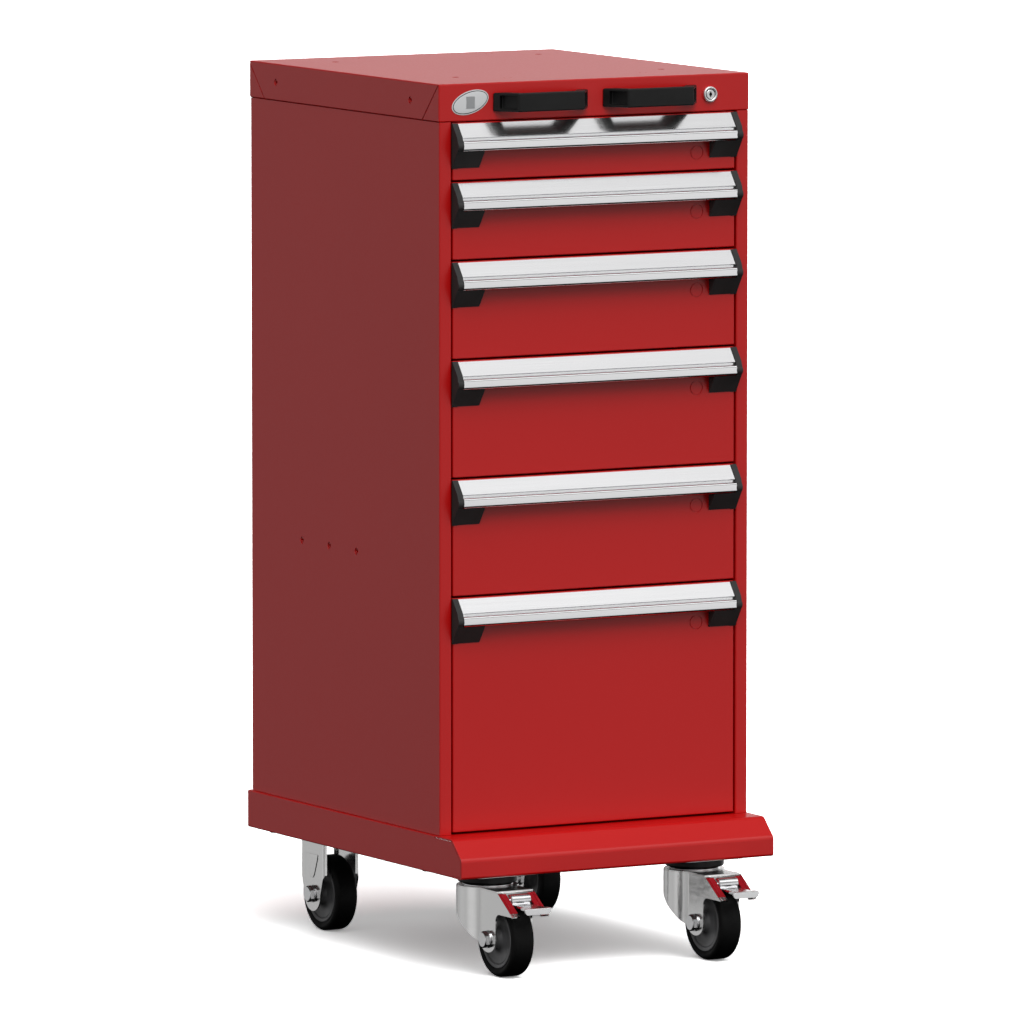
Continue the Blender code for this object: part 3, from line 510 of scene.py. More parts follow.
def top_cover():
    half = COVER_HIGH.x
    cover = open_tray(COVER_LOW, COVER_HIGH, (0, 0, -1), 9 * MM, 1.5 * MM, 1.8 * MM)
    for x in (-145.1 * MM, 159.4 * MM):
        for depth in (107 * MM, 432 * MM):
            cut(cover, cylinder("Z", (x, at(depth)), 4.75 * MM, LID_TOP - 5 * MM, LID_TOP + 5 * MM))
    for x in (-91.6 * MM, 108.4 * MM):
        for depth in (66 * MM, 475 * MM):
            for shift in (-4.5 * MM, 4.5 * MM):
                cut(cover, cylinder("Z", (x + shift, at(depth)), 1.4 * MM, LID_TOP - 0.5 * MM,
                                    LID_TOP + 1 * MM, 24))
    for side in SIDES.values():
        for depth in COVER_HOLES:
            ends = sorted((side * (half - 5 * MM), side * (half + 5 * MM)))
            cut(cover, cylinder("X", (at(depth), COVER_HOLE_Z), SIDE_HOLE_RADIUS, *ends))
        cut(cover, cover_seam(side, 0), cover_seam(side, 1))
    return cut(cover, cylinder("Y", (LOCK_Z, LOCK_X), 9.4 * MM, at(-5 * MM), at(5 * MM)))


def side_panel(side):
    back = PANEL_HIGH.y
    path = [(side * OPENING_X, at(30 * MM)), (side * OPENING_X, at(0)), (side * SHELL_X, at(0)),
            (side * SHELL_X, back), (side * (SHELL_X - 22 * MM), back)]
    panel = folded_sheet("Z", path, PANEL_LOW.z, PANEL_HIGH.z, 1.2 * MM,
                         "left" if side > 0 else "right", 1.8 * MM)
    ends = sorted((side * (SHELL_X - 5 * MM), side * (SHELL_X + 5 * MM)))
    for depth in PANEL_HOLES:
        cut(panel, cylinder("X", (at(depth), PANEL_HOLE_Z), SIDE_HOLE_RADIUS, *ends))
    return panel


def insert(side, face_x, depth, height):
    """Rivet nut seen in a side hole: a flanged ring just behind the sheet."""
    ring = [(4.1 * MM, -0.9 * MM), (4.1 * MM, -6 * MM), (2.1 * MM, -6 * MM), (2.1 * MM, -1.2 * MM),
            (2.4 * MM, -0.9 * MM)]
    shape = turned("X", (at(depth), height), ring, 40)
    shape.data.transform(Matrix.Translation((face_x, 0, 0)))
    if side < 0:
        shape.data.transform(Matrix.Scale(-1, 4, (1, 0, 0)))
        shape.data.flip_normals()
    return shape


def hole_inserts():
    rings = []
    for side in SIDES.values():
        rings += [insert(side, COVER_HIGH.x, depth, COVER_HOLE_Z) for depth in COVER_HOLES]
        rings += [insert(side, SHELL_X, depth, PANEL_HOLE_Z) for depth in PANEL_HOLES]
    return join(*rings)


def build_shell():
    finish_piece("cover_shell", top_cover(), PAINT, "chest", "top_cover", edge=0.2 * MM)
    for name, side in SIDES.items():
        finish_piece(f"{name}_housing_side", side_panel(side), PAINT, "chest", f"{name}_side_panel",
                     edge=0.2 * MM)
    finish_piece("hole_inserts", hole_inserts(), PAINT, "chest", edge=0.15 * MM)
    heads, foot_y = [], PANEL_HIGH.y - 0.5 * MM
    for side in SIDES.values():
        for step in range(6):
            height = BASE_TOP + (60 + 162 * step) * MM
            dome = arc((0, PANEL_HIGH.y), (3.2 * MM, 1.3 * MM), 0, 90, 6)
            heads.append(turned("Y", (height, side * (SHELL_X - 11 * MM)),
                                [(0, foot_y), (3.2 * MM, foot_y), *dome], 32))
    finish_piece("back_rivet_heads", join(*heads), PAINT, "chest", edge=0)


# ---------------------------------------------------------------- mobile base

def bumper_path():
    low, high = BUMPER_LOW, BUMPER_HIGH
    return [(high.y, high.z), (at(-37.8 * MM), high.z), (low.y, high.z - 24.4 * MM), (low.y, low.z),
            (low.y + 23 * MM, low.z)]


def base_tray():
    flange_x = BASE_X - 131 * MM
    path = [(BASE_BOTTOM, -flange_x), (BASE_BOTTOM, -BASE_X), (BASE_TOP, -BASE_X),
            (BASE_TOP, BASE_X), (BASE_BOTTOM, BASE_X), (BASE_BOTTOM, flange_x)]
    back, sheet = TRAY_HIGH.y, 1.5 * MM
    tray = folded_sheet("Y", path, BUMPER_LOW.y, back - sheet / 2, sheet, "left", 1.7 * MM)
    clear = offset_path(bumper_path(), 2.85 * MM)
    start, end = BUMPER_HIGH.y + 0.3 * MM, BUMPER_LOW.y + 23.3 * MM
    above, below, behind = BASE_TOP + 10 * MM, BASE_BOTTOM - 10 * MM, back + 10 * MM
    outline = [(start, above), (start, clear[0][1]), *clear[1:4], (end, clear[4][1]),
               (end, below), (behind, below), (behind, above)]
    combine("INTERSECT", tray, [prism("X", outline, -BASE_X - 5 * MM, BASE_X + 5 * MM)])
    wall = open_tray((-BASE_X, back - 20 * MM, BASE_BOTTOM), (BASE_X, back, BASE_TOP), (0, -1, 0),
                     0, sheet, 1.7 * MM)
    combine("INTERSECT", wall, [box((-1, back - 6 * MM, 0), (1, back + 1 * MM, 1))])
    unite(tray, wall)
    corner = [*arc((back - 4 * MM, BASE_BOTTOM + 4 * MM), (4 * MM, 4 * MM), -90, 0, 6),
              (behind, BASE_BOTTOM + 4 * MM), (behind, below), (back - 4 * MM, below)]
    return cut(tray, prism("X", corner, -BASE_X - 5 * MM, BASE_X + 5 * MM))


def build_base():
    finish_piece("base_tray_sheet", base_tray(), PAINT, "chest", "mobile_base_tray", edge=0)
    bumper = folded_sheet("X", bumper_path(), -BASE_X, BASE_X, 2.5 * MM, "left", 3.5 * MM, 6)
    finish_piece("base_bumper_sheet", bumper, PAINT, "chest", "base_front_bumper", edge=0.6 * MM,
                 segments=3)
    edge_bolts = [hex_screw("Z", (side * 208.6 * MM, at(depth)), 13 * MM, BASE_BOTTOM, 5.3 * MM, -1)
                  for side in SIDES.values() for depth in (67 * MM, 485 * MM)]
    finish_piece("base_edge_bolts", join(*edge_bolts), DARK, "chest", edge=0)


# ---------------------------------------------------------------- drawers

def knock_out():
    """Cutter for the ring of the lock knock-out in a drawer's front."""
    ring = [(9.6 * MM, -0.9 * MM), (9.6 * MM, 0.9 * MM), (8.3 * MM, 0.9 * MM), (8.3 * MM, -0.9 * MM)]
    return turned("Y", (-52.5 * MM, 151.2 * MM), ring, 64)


def drawer_front(pitch):
    half = OPENING_X - 2.6 * MM
    front = open_tray((-half, 0, FRONT_EDGE - pitch), (half, 12 * MM, -FRONT_EDGE), (0, 1, 0), 0,
                      1.2 * MM, 1.4 * MM)
    return cut(front, knock_out())


def drawer_box(pitch):
    """Folded box with hemmed top edges."""
    bottom = FRONT_EDGE + BOX_FLOOR_RISE - pitch
    tray = open_tray((-BOX_X, 1.5 * MM, bottom), (BOX_X, BOX_BACK, -BOX_TOP_DROP), (0, 0, 1), 0,
                     1.2 * MM, 2.2 * MM)
    hem, fold = 10 * MM, 1.35 * MM
    top = -BOX_TOP_DROP
    for side in SIDES.values():
        unite(tray, mirrored_box(side, (BOX_X - 1.2 * MM - fold, 3 * MM, top - hem),
                                 (BOX_X - 0.6 * MM, BOX_BACK - 1 * MM, top)))
    unite(tray, box((-BOX_X + 2 * MM, BOX_BACK - 1.2 * MM - fold, top - hem),
                    (BOX_X - 2 * MM, BOX_BACK - 0.6 * MM, top)))
    return tray


def drawer_channels(pitch):
    """The two C channels that the drawer's rollers run in."""
    height, half, web, mouth = SLIDE_RISE + FRONT_EDGE - pitch, 9.9 * MM, BOX_X - 0.5 * MM, 201.5 * MM
    rails = []
    for side in SIDES.values():
        path = [(height - half, side * mouth), (height - half, side * web),
                (height + half, side * web), (height + half, side * mouth)]
        rails.append(folded_sheet("Y", path, 19 * MM, BOX_BACK - 1.5 * MM, 1.5 * MM,
                                  "left" if side > 0 else "right", 1.7 * MM, 3))
    return join(*rails)


def drawer_handle():
    """Aluminium section: a sloped label face that ends in a groove and a rounded lip."""
    front = [(1.2, -2.6), (14.3, -19.9), (12.4, -20.9), (12.0, -21.4), (12.0, -23.2)]
    lip = arc((15.2, -27.1), (3.3, 3.3), 130, 0, 9) + arc((15.2, -33.9), (3.3, 3.3), 0, -90, 8)
    back = [(13.2, -37.2), (13.2, -27.6), (10.2, -23.4), (10.2, -19.2), (2.1, -8.4), (2.1, -14),
            (0.3, -14), (0.3, -2.6)]
    outline = [(-reach, height) for reach, height in mm(front + lip + back)]
    return prism("X", outline, -HANDLE_X, HANDLE_X)


def handle_cap(side):
    """Black end cap: a cheek with a rounded nose beside the handle and a slanted block below."""
    outer = OPENING_X - 0.6 * MM
    cheek = [(0.3, -1.8), (2.2, -1.8), (15.4, -19.2), *arc((13.7, -30.6), (6, 6), 52, -58, 9),
             (1.0, -60), (0.3, -60)]
    block = [(0.3, -37.6), (16.7, -37.6), (0.9, -59.5), (0.3, -59.5)]
    cheek_ends = sorted((side * (HANDLE_X + 0.3 * MM), side * outer))
    block_ends = sorted((side * (outer - 40 * MM), side * (outer - 0.5 * MM)))
    cap = prism("X", [(-reach, height) for reach, height in mm(cheek)], *cheek_ends)
    foot = prism("X", [(-reach, height) for reach, height in mm(block)], *block_ends)
    return unite(cap, foot)


def slide_carriage():
    """Two roller bars joined behind the drawer, at slide height 0 in the drawer's frame."""
    start, end = 46 * MM, 479 * MM
    inner_x, outer_x = 203.2 * MM, 205.8 * MM
    tie = box((-inner_x - 1 * MM, end - 5 * MM, -3 * MM), (inner_x + 1 * MM, end - 1 * MM, 3 * MM))
    for side in SIDES.values():
        unite(tie, mirrored_box(side, (inner_x, start, -8 * MM), (outer_x, end, 8 * MM)),
              mirrored_box(side, (outer_x - 0.4 * MM, start + 1 * MM, -4 * MM),
                           (OPENING_X - 1 * MM, start + 7 * MM, 4 * MM)))
    return tie


def slide_rollers():
    """Steel rollers with a rounded rim and a recessed face."""
    radius, rollers = 7.9 * MM, []
    for side in SIDES.values():
        for low, high, depths in ((193 * MM, 203.1 * MM, (59, 244)), (205.9 * MM, 218.3 * MM, (289, 468))):
            far = low if low < 200 * MM else high
            for depth in depths:
                near = low + high - far
                rim = [(0, near), (radius - 0.6 * MM, near), (radius, near + (far - near) * 0.08),
                       (radius, near + (far - near) * 0.92), (radius - 0.6 * MM, far), (4.6 * MM, far),
                       (4.2 * MM, near + (far - near) * 0.94), (0, near + (far - near) * 0.94)]
                rim = [(r, side * x) for r, x in rim]
                rollers.append(turned("X", (depth * MM, 0), rim, 40))
    return join(*rollers)


def build_drawers():
    handle, carriage, rollers = drawer_handle(), slide_carriage(), slide_rollers()
    caps = {name: handle_cap(side) for name, side in SIDES.items()}
    for number in range(1, 7):
        label, body = f"drawer_{number}", f"drawer_{number}"
        low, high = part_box(label + "_body")
        top = high.z + FRONT_EDGE
        pitch = top - low.z + FRONT_EDGE
        place = (0, low.y, top)
        finish_piece(label + "_front", drawer_front(pitch), PAINT, body, label + "_body",
                     edge=0.25 * MM, offset=place)
        finish_piece(label + "_box", drawer_box(pitch), PAINT, body, edge=0.3 * MM, offset=place)
        finish_piece(label + "_channels", drawer_channels(pitch), ZINC, body,
                     edge=0.2 * MM, offset=place)
        finish_piece(label + "_handle_section", handle, ALUMINIUM, body, label + "_handle",
                     0.3 * MM, place, True)
        for name, cap in caps.items():
            finish_piece(f"{label}_{name}_cap", cap, CAP_PLASTIC, body, f"{label}_{name}_end_cap",
                         0.8 * MM, place, True, 3)
        slide = (0, low.y, top - pitch + FRONT_EDGE + SLIDE_RISE)
        finish_piece(label + "_carriage_bars", carriage, ZINC, f"carriage_{number}",
                     label + "_slide_carriage", 0.3 * MM, slide, True)
        finish_piece(label + "_rollers", rollers, ZINC, f"carriage_{number}", None,
                     0, slide, True)
    for shape in (handle, carriage, rollers, *caps.values()):
        bpy.data.objects.remove(shape, do_unlink=True)


# ---------------------------------------------------------------- pulls, lock and badge

def pull_handle():
    """Black bridge handle with hollowed legs, in the frame of its middle on the cover's front."""
    half, slant, reach, grip, gap = 70 * MM, 22 * MM, 31 * MM, 10 * MM, 0.3 * MM
    outline = [(-half, -gap), (slant - half, -reach), (half - slant, -reach), (half, -gap),
               (half - 18 * MM, -gap), (half - 32 * MM, grip - reach), (32 * MM - half, grip - reach),
               (18 * MM - half, -gap)]
    handle = bevel(prism("Z", outline, -12 * MM, 12 * MM), 1.8 * MM, 4)
    angle = math.atan2(reach, slant)
    for side in SIDES.values():
        pocket = box((-12.5 * MM, -7.5 * MM, -8.8 * MM), (12.5 * MM, 7.5 * MM, 8.8 * MM))
        bevel(pocket, 1.5 * MM, 3)
        middle = (side * (half - 0.6 * slant), -0.6 * reach, 0)
        pocket.data.transform(Matrix.Translation(middle) @ Matrix.Rotation(side * angle, 4, "Z"))
        cut(handle, pocket)
    return handle


def lock_ring():
    """Satin escutcheon ring and the barrel behind it."""
    crown = arc((8.6 * MM, -2.4 * MM), (1.6 * MM, 1.4 * MM), 0, -180, 10)
    profile = [(6.6 * MM, 26 * MM), (6.6 * MM, -1.6 * MM), *reversed(crown), (10.2 * MM, -0.3 * MM),
               (9.0 * MM, -0.3 * MM), (9.0 * MM, 26 * MM)]
    return turned("Y", (0, 0), profile)


def lock_plug():
    """Key plug with a diamond keyway, its cam and drive pin, pointing right when unlocked."""
    face = [(0, -3.0 * MM), (5.6 * MM, -3.0 * MM), (6.1 * MM, -2.6 * MM), (6.1 * MM, 32 * MM), (0, 32 * MM)]
    plug = turned("Y", (0, 0), face)
    root = arc((0, 0), (7.5 * MM, 7.5 * MM), 165, 375, 20)
    tip = arc((0, 14 * MM), (4 * MM, 4 * MM), 15, 165, 12)
    cam = prism("Y", root + tip, 31 * MM, 34 * MM)
    pin = cylinder("Y", (0, 14 * MM), 2 * MM, 33.5 * MM, 42 * MM, 24)
    keyway = prism("Y", mm([(4.2, 0), (0, 2.4), (-4.2, 0), (0, -2.4)]), -6 * MM, 2 * MM)
    return cut(unite(plug, cam, pin), keyway)


# A near-black diamond set in the keyway: painted shade at the bottom of the slot.
def keyway_floor():
    return prism("Y", mm([(4.1, 0), (0, 2.3), (-4.1, 0), (0, -2.3)]), -1.6 * MM, 1.9 * MM)


def oval(width, height, low, high, crown, sides=96):
    """Oval plate with a rounded rim, its face towards -Y and domed by crown."""
    edge = [(0.5, high), (0.5, low + crown)] + [
        (0.5 * math.sin(t), low + crown * (1 - math.cos(t))) for t in (1.1, 0.8, 0.5, 0.2)] + [(0, low)]
    plate = turned("Y", (0, 0), [(0, high), *edge], sides)
    plate.data.transform(Matrix.Diagonal((width, 1, height, 1)))
    return plate


def build_fittings():
    pulls = pull_handle()
    for name in SIDES:
        low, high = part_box(f"{name}_pull_handle")
        place = ((low.x + high.x) / 2, FRONT_Y, (low.z + high.z) / 2)
        finish_piece(f"{name}_pull", pulls, PLASTIC, "chest", f"{name}_pull_handle",
                     0.3 * MM, place, True)
    bpy.data.objects.remove(pulls, do_unlink=True)
    place = (LOCK_X, FRONT_Y, LOCK_Z)
    finish_piece("lock_ring", lock_ring(), SATIN, "chest", "lock_barrel", 0, place)
    finish_piece("key_plug", lock_plug(), SATIN, "lock_plug", "lock_plug", 0.15 * MM, place)
    finish_piece("keyway_shadow", keyway_floor(), DARK, "lock_plug", None, 0.1 * MM, place)
    tilt = Matrix.Rotation(math.radians(-17), 4, "Y")
    place = Matrix.Translation((-183.2 * MM, FRONT_Y, LID_TOP - 24.2 * MM))
    layers = (("badge_plate", 55, 29, 0.9, ENAMEL), ("badge_border", 52.2, 26.4, 1.25, DARK),
              ("badge_face", 50.4, 24.6, 1.4, ENAMEL))
    for name, width, height, proud, material in layers:
        plate = oval(width * MM, height * MM, -proud * MM, -0.05 * MM, 0.5 * MM)
        plate.data.transform(place @ tilt)
        finish_piece(name, plate, material, "chest", None, 0)
    emblem = box((-6 * MM, -1.8 * MM, -7.5 * MM), (6 * MM, -0.1 * MM, 7.5 * MM))
    emblem.data.transform(place)
    finish_piece("badge_emblem", emblem, SILVER, "chest", None, 0.3 * MM)


# ---------------------------------------------------------------- casters, origin on the floor

def tyre():
    """Black tread with rounded shoulders, about its own axle."""
    half = [(38.4, 13.6), (40, 14.4), (43, 15.6)] + arc((43.5, 9.5), (6.4, 6.4), 88, 12, 9) + [(50, 5)]
    profile = half + [(radius, -width) for radius, width in reversed(half)]
    return turned("X", (0, 0), mm(profile), 96)


def rim():
    """Grey wheel centre: raised ring, dished web and hub."""
    half = [(6.8, 19.6), (11.6, 19.6), (12.6, 18.8), (13.2, 15.4), (14.6, 12.6), (18, 10.9), (23, 10.5),
            (28, 11.4), (31.6, 12.6), (32.4, 12.5), (33.0, 12.1), (33.6, 12.7), (34.4, 14.0), (37.4, 14.7),
            (38.3, 14.3)]
    profile = half + [(radius, -width) for radius, width in reversed(half)]
    return turned("X", (0, 0), mm(profile), 96)


def axle():
    """Bolt with washers, its hexagon head and nut outside the fork's legs."""
    seat = 27.3 * MM
    bolt = cylinder("X", (0, 0), 6 * MM, -seat - 2 * MM, seat + 2 * MM)
    for side in SIDES.values():
        washer = cylinder("X", (0, 0), 11.5 * MM, *sorted((side * seat, side * (seat + 1.2 * MM))))
        unite(bolt, bevel(washer, 0.3 * MM, 2), hex_screw("X", (0, 0), 19 * MM, side * (seat + 1.1 * MM),
                                                         6.8 * MM, side))
    return bolt


def bearing_bush():
    """Steel bush between the fork's legs, through the wheel's hub."""
    profile = [(6.2, 24.4), (8.8, 24.4), (9.2, 24.0), (9.2, 19.8), (6.2, 19.8)]
    both = [turned("X", (0, 0), mm(profile), 48),
            turned("X", (0, 0), mm([(radius, -width) for radius, width in reversed(profile)]), 48)]
    return join(*both)


def mounting_plate(thickness):
    return box((-PLATE_HALF_X, -PLATE_HALF_Y, PLATE_TOP - thickness),
               (PLATE_HALF_X, PLATE_HALF_Y, PLATE_TOP))


def caster_plate():
    return bevel(mounting_plate(2.8 * MM), 0.6 * MM, 2)


def dust_cover():
    """Round black cover of the swivel bearing, under the plate."""
    top = BASE_BOTTOM - 2.7 * MM
    profile = [(0, top), *arc((36.9 * MM, top - 1.6 * MM), (1.6 * MM, 1.6 * MM), 90, 0, 5),
               *arc((36.7 * MM, 120.2 * MM), (1.8 * MM, 2.4 * MM), 0, -90, 6), (0, 117.8 * MM)]
    return turned("Z", (0, 0), profile, 96)


def bearing_race():
    """Chrome race of the swivel bearing, standing on the fork."""
    profile = [(0, 117.1), (29.5, 117.1), *arc((30.4, 114.9), (2.4, 2.2), 90, -20, 8), (33.5, 113.4),
               (0, 113.4)]
    return turned("Z", (0, 0), mm(profile), 96)


def fork_plan(half_width, radius, front):
    """Outline of the swivel fork from above: round behind, straight cheeks in front."""
    angle = math.degrees(math.acos(half_width / radius))
    return [(-half_width, -front), *arc((0, 0), (radius, radius), 180 + angle, -angle, 40),
            (half_width, -front)]


def fork_profile():
    """Side outline of the swivel fork as (forward, height): skirt, leg and pedal nose."""
    skirt = [(-42, 98), (-30, 90.5), (-19.6, 82.5), (-10.6, 76), (-1.3, 68.6), (11.9, 58.6), (22.2, 49.8)]
    leg = arc((48.2, 50), (21, 17), 195, 360, 18)
    fillet = arc((79.2, 75.2), (10, 10), 180, 95, 6)
    nose = [(112.4, 85.3), (113.4, 85.8), (76, 111), (73, 112.5)]
    outline = [(-42, 112.5)] + skirt + leg + fillet + nose
    return [(-forward, height) for forward, height in mm(outline)]


def swivel_fork():
    outer = fork_plan(FORK_HALF_WIDTH, FORK_RADIUS, 115 * MM)
    inner = fork_plan(FORK_HALF_WIDTH - FORK_SHEET, FORK_RADIUS - FORK_SHEET, 115 * MM)
    fork = prism("Z", outer + inner[::-1], 20 * MM, 120 * MM)
    combine("INTERSECT", fork, [prism("X", fork_profile(), -60 * MM, 60 * MM)])
    roof = fork_plan(FORK_HALF_WIDTH - 0.6 * MM, ROOF_RADIUS, 72 * MM)
    unite(fork, prism("Z", roof, 111.5 * MM, 114 * MM))
    return cut(fork, cylinder("X", (-SWIVEL_TRAIL, AXLE_HEIGHT), 6.5 * MM, -60 * MM, 60 * MM))


def nose_flange(side, low, high):
    """Folded edge on the fork's nose; low and high are distances from its tip up the slope."""
    tip, top = Vector((-113.5 * MM, 85.95 * MM)), Vector((-76 * MM, 111.2 * MM))
    along = (top - tip).normalized()
    under = Vector((along.y, -along.x)) * 2 * MM
    if under.y > 0:
        under = -under
    ends = [tip + along * low, tip + along * high]
    outline = [tuple(point) for point in (ends[0], ends[1], ends[1] + under, ends[0] + under)]
    flange = prism("X", outline, *sorted((side * 15.5 * MM, side * (FORK_HALF_WIDTH - 0.2 * MM))))
    rise = under * -0.45
    ridge = [tuple(point) for point in (ends[0] + rise, ends[1] + rise, ends[1] + under / 2,
                                        ends[0] + under / 2)]
    ridge_ends = sorted((side * (FORK_HALF_WIDTH - 4.4 * MM), side * (FORK_HALF_WIDTH - 2.8 * MM)))
    return unite(flange, bevel(prism("X", ridge, *ridge_ends), 0.5 * MM, 3))


def brake_pedal():
    """Toe pedal about its own pivot: a roller between the noses, a neck and a plate with a lip."""
    forward, neck_top, sheet = TOE_FORWARD - PEDAL_FORWARD, -4.6 * MM, 2.5 * MM
    roller = [(0, 14.2), (7.6, 14.2), (8.5, 13.3), (8.5, -13.3), (7.6, -14.2), (0, -14.2)]
    pedal = turned("X", (0, 0), mm(roller), 64)
    unite(pedal, cylinder("X", (0, 0), 3 * MM, -24.2 * MM, 24.2 * MM))
    neck = box((-13 * MM, 3 * MM - forward, neck_top - sheet), (13 * MM, -2 * MM, neck_top))
    cut(neck, bevel(box((-6 * MM, -20 * MM, -20 * MM), (6 * MM, -10 * MM, 0)), 2 * MM, 3))
    path = [(12 * MM - forward, neck_top + 0.2 * MM), (-forward, neck_top + 0.2 * MM),
            (-forward, neck_top - 8 * MM)]
    toe = folded_sheet("X", path, -19 * MM, 19 * MM, sheet, "left", 1.6 * MM, 4)
    corners = prism("Y", [(neck_top - 8.2 * MM, -14 * MM), *[(neck_top - 3 * MM - 5.2 * MM * math.cos(a),
                    -14 * MM - 5.1 * MM * math.sin(a)) for a in (0.4, 0.8, 1.2, 1.57)],
                    (neck_top + 2 * MM, -19.2 * MM), (neck_top + 2 * MM, 19.2 * MM),
                    *[(neck_top - 3 * MM - 5.2 * MM * math.cos(a), 14 * MM + 5.1 * MM * math.sin(a))
                      for a in (1.57, 1.2, 0.8, 0.4)], (neck_top - 8.2 * MM, 14 * MM)],
                    -forward - 5 * MM, 20 * MM - forward)
    combine("INTERSECT", toe, [corners])
    return unite(pedal, neck, toe)


def rigid_leg(side):
    """One leg of a fixed fork: a pressed channel whose flanges end above the wheel's centre."""
    half, web = 30.5 * MM, side * FORK_HALF_WIDTH
    path = [(side * 21.3 * MM, -half), (web, -half), (web, half), (side * 21.3 * MM, half)]
    leg = folded_sheet("Z", path, 20 * MM, 129.6 * MM, FORK_SHEET, "left" if side > 0 else "right",
                       2.6 * MM)
    foot = arc((0, AXLE_HEIGHT), (22 * MM, 23 * MM), 180, 360, 24)
    outline = [(-half - 1 * MM, 131 * MM), (-half - 1 * MM, 78 * MM), (-half + 1.5 * MM, 72 * MM), *foot,
               (half - 1.5 * MM, 72 * MM), (half + 1 * MM, 78 * MM), (half + 1 * MM, 131 * MM)]
    combine("INTERSECT", leg, [prism("X", outline, *sorted((side * 10 * MM, side * 30 * MM)))])
    cut(leg, mirrored_box(side, (10 * MM, -40 * MM, 0), (FORK_HALF_WIDTH - FORK_SHEET, 40 * MM, 77 * MM)))
    shield = [(-16.5, 103), (-15.5, 97), (-7, 76), (-3.5, 71.5), (3.5, 71.5), (7, 76), (15.5, 97),
              (16.5, 103)]
    emboss_ends = sorted((web - side * 0.5 * MM, web + side * 0.8 * MM))
    return unite(leg, bevel(prism("X", mm(shield), *emboss_ends), 0.7 * MM, 4))


def rigid_fork():
    plate = mounting_plate(2.5 * MM)
    unite(plate, *[rigid_leg(side) for side in SIDES.values()])
    return cut(plate, cylinder("X", (0, AXLE_HEIGHT), 6.5 * MM, -60 * MM, 60 * MM))


def build_casters():
    wheel_parts = {"tyre": (tyre(), RUBBER, "wheel_rubber"), "rim": (rim(), RIM, "wheel_rubber")}
    fixed = {"axle": axle(), "bush": bearing_bush(), "plate": caster_plate(), "cover": dust_cover(),
             "race": bearing_race(), "fork": swivel_fork(), "pedal": brake_pedal(), "rigid": rigid_fork()}

    def stamp(name, shape, material, body, node, place, edge=0):
        finish_piece(name, fixed[shape], material, body, node, edge, place, True)

    for name, side in SIDES.items():
        for label, hub_y, wheel_body in ((f"front_{name}", SWIVEL_Y - SWIVEL_TRAIL, f"front_{name}_swivel"),
                                         (f"rear_{name}", REAR_Y, "chest")):
            hub = (side * CASTER_X, hub_y, AXLE_HEIGHT)
            for part, (shape, material, slot) in wheel_parts.items():
                finish_piece(f"{label}_{part}", shape, material, f"{label}_wheel",
                             f"{label}_wheel" if part == "tyre" else None, 0, hub, True)
            stamp(f"{label}_axle_bolt", "axle", TURNED_CHROME, wheel_body, f"{label}_axle",
                  hub)
            stamp(f"{label}_bush", "bush", ZINC, wheel_body, None, hub)
        foot = (side * CASTER_X, SWIVEL_Y, 0)
        swivel = f"front_{name}_swivel"
        label = f"front_{name}"
        stamp(label + "_plate", "plate", ZINC, "chest", label + "_caster_head", foot)
        stamp(label + "_dust_cover", "cover", PLASTIC, "chest", None, foot)
        stamp(label + "_race", "race", TURNED_CHROME, swivel, None, foot)
        stamp(label + "_fork", "fork", CHROME, swivel, label + "_caster_fork", foot, 0.4 * MM)
        flanges = [nose_flange(s, 7 * MM, 45 * MM) for s in SIDES.values()]
        finish_piece(label + "_red_flanges", join(*flanges), STRIP_RED, swivel, None,
                     0.3 * MM, foot)
        tips = [nose_flange(s, 0, 6.9 * MM) for s in SIDES.values()]
        finish_piece(label + "_flange_tips", join(*tips), CHROME, swivel, None, 0.3 * MM, foot)
        pivot = (side * CASTER_X, SWIVEL_Y - PEDAL_FORWARD, PEDAL_HEIGHT)
        stamp(label + "_pedal", "pedal", TURNED_CHROME, label + "_pedal", label + "_brake_pedal",
              pivot)
        stamp(f"rear_{name}_fork", "rigid", CHROME, "chest", f"rear_{name}_caster_fork",
              (side * CASTER_X, REAR_Y, 0), 0.4 * MM)
    for shape in [*fixed.values(), *[row[0] for row in wheel_parts.values()]]:
        bpy.data.objects.remove(shape, do_unlink=True)


# ---------------------------------------------------------------- carried CAD nodes and the studio

def dress_carried_nodes():
    """Better materials for the CAD nodes that show as they are."""
    for node, material in (("back_panel", PAINT), ("bottom_panel", PAINT), ("left_guide_frame", ZINC),
                           ("right_guide_frame", ZINC), ("lock_bar", ZINC)):
        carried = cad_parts[node]
        carried.data.materials.clear()
        carried.data.materials.append(material)


def ramp(tree, value, start, end, low, high):
    """A smooth step of a socket's value from low at start to high at end."""
    step = add_node(tree, "ShaderNodeMapRange", From_Min=start, From_Max=end, To_Min=low, To_Max=high,
                    interpolation_type="SMOOTHSTEP")
    tree.links.new(value, step.inputs["Value"])
    return step.outputs["Result"]


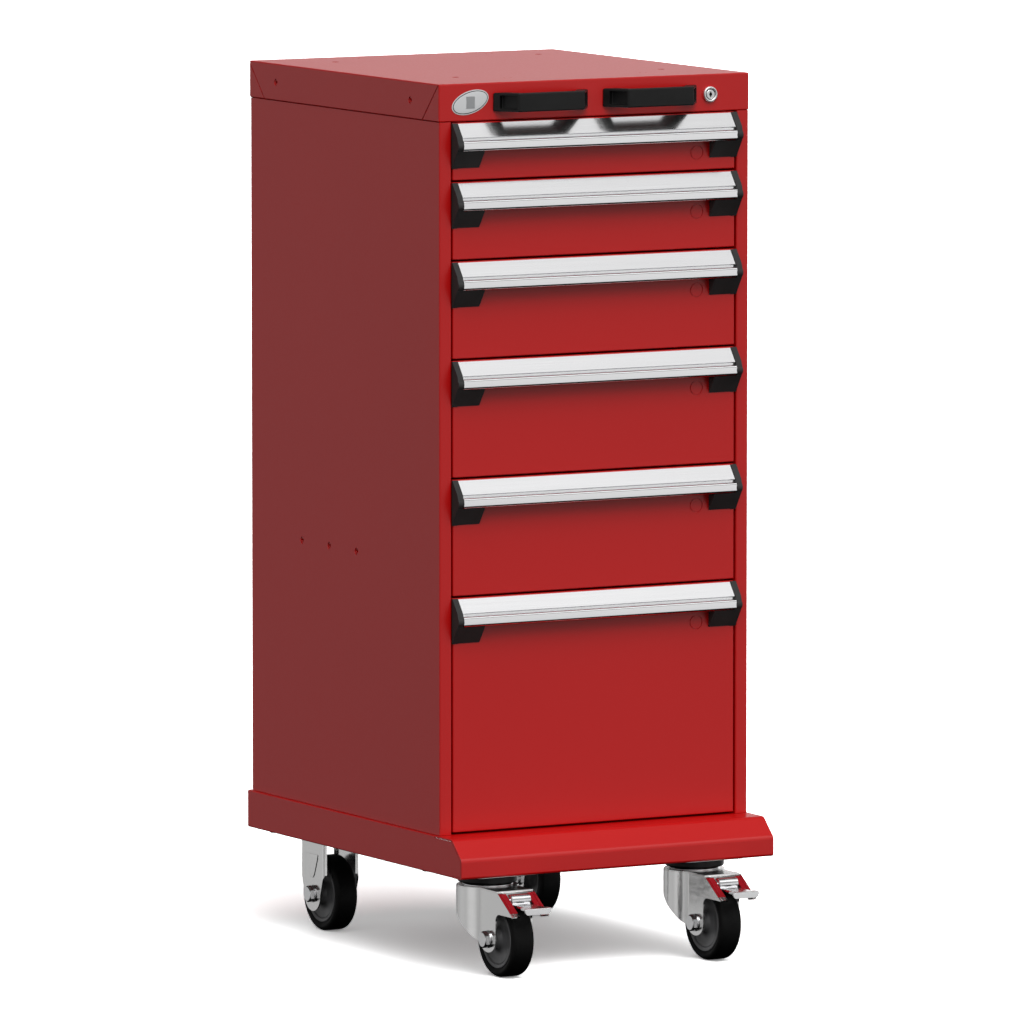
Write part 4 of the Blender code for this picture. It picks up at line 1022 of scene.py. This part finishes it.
def studio_floor():
    """White floor, which lifts its own shadows and neither lights the chest nor shows in it."""
    material, tree, shader = new_material("pale_floor", (FLOOR_WHITE,) * 3, 0.9, Specular_IOR_Level=0,
                                          Emission_Strength=FLOOR_GLOW)
    shader.inputs["Emission Color"].default_value = (1, 1, 1, 1)
    tint(tree, shader, grain(tree, 2), (FLOOR_WHITE,) * 3, (FLOOR_WHITE * 0.99,) * 3)
    floor = box((-60, -40, -0.02), (60, 80, 0))
    floor.name = "studio_floor"
    floor.data.materials.append(material)
    floor.visible_diffuse = False
    floor.visible_glossy = False


def studio():
    """Soft light: an even band round the horizon, and the broad glows of WORLD_GLOWS."""
    scene = bpy.context.scene
    scene.view_settings.view_transform = "Standard"
    world = bpy.data.worlds.new("studio")
    scene.world = world
    world.use_nodes = True
    tree = world.node_tree
    coordinates = add_node(tree, "ShaderNodeTexCoord").outputs["Generated"]

    def toward(direction):
        dot = add_node(tree, "ShaderNodeVectorMath", operation="DOT_PRODUCT")
        dot.inputs[1].default_value = direction
        tree.links.new(coordinates, dot.inputs[0])
        return dot.outputs["Value"]

    height = add_node(tree, "ShaderNodeMath", operation="ABSOLUTE")
    tree.links.new(toward((0, 0, 1)), height.inputs[0])
    total = ramp(tree, height.outputs["Value"], *BAND_EDGES, HORIZON_BAND, 0)
    for azimuth, elevation, power, half_angle in WORLD_GLOWS:
        a, e = math.radians(azimuth), math.radians(elevation)
        direction = (math.sin(a) * math.cos(e), -math.cos(a) * math.cos(e), math.sin(e))
        glow = ramp(tree, toward(direction), math.cos(math.radians(half_angle)), 1, 0, power)
        add = add_node(tree, "ShaderNodeMath", operation="ADD")
        tree.links.new(total, add.inputs[0])
        tree.links.new(glow, add.inputs[1])
        total = add.outputs["Value"]
    tree.links.new(total, tree.nodes["Background"].inputs["Strength"])
    tree.nodes["Background"].inputs["Color"].default_value = (1, 1, 1, 1)


def camera():
    data = bpy.data.cameras.new("camera")
    data.lens = CAMERA_LENS
    data.sensor_width = CAMERA_SENSOR
    data.clip_end = 500
    viewer = bpy.data.objects.new("camera", data)
    viewer.location = CAMERA_PLACE
    viewer.rotation_euler = [math.radians(angle) for angle in CAMERA_ANGLES]
    bpy.context.scene.collection.objects.link(viewer)
    bpy.context.scene.camera = viewer


camera()
studio_floor()
studio()
build_shell()
build_base()
build_fittings()
build_drawers()
build_casters()
dress_carried_nodes()
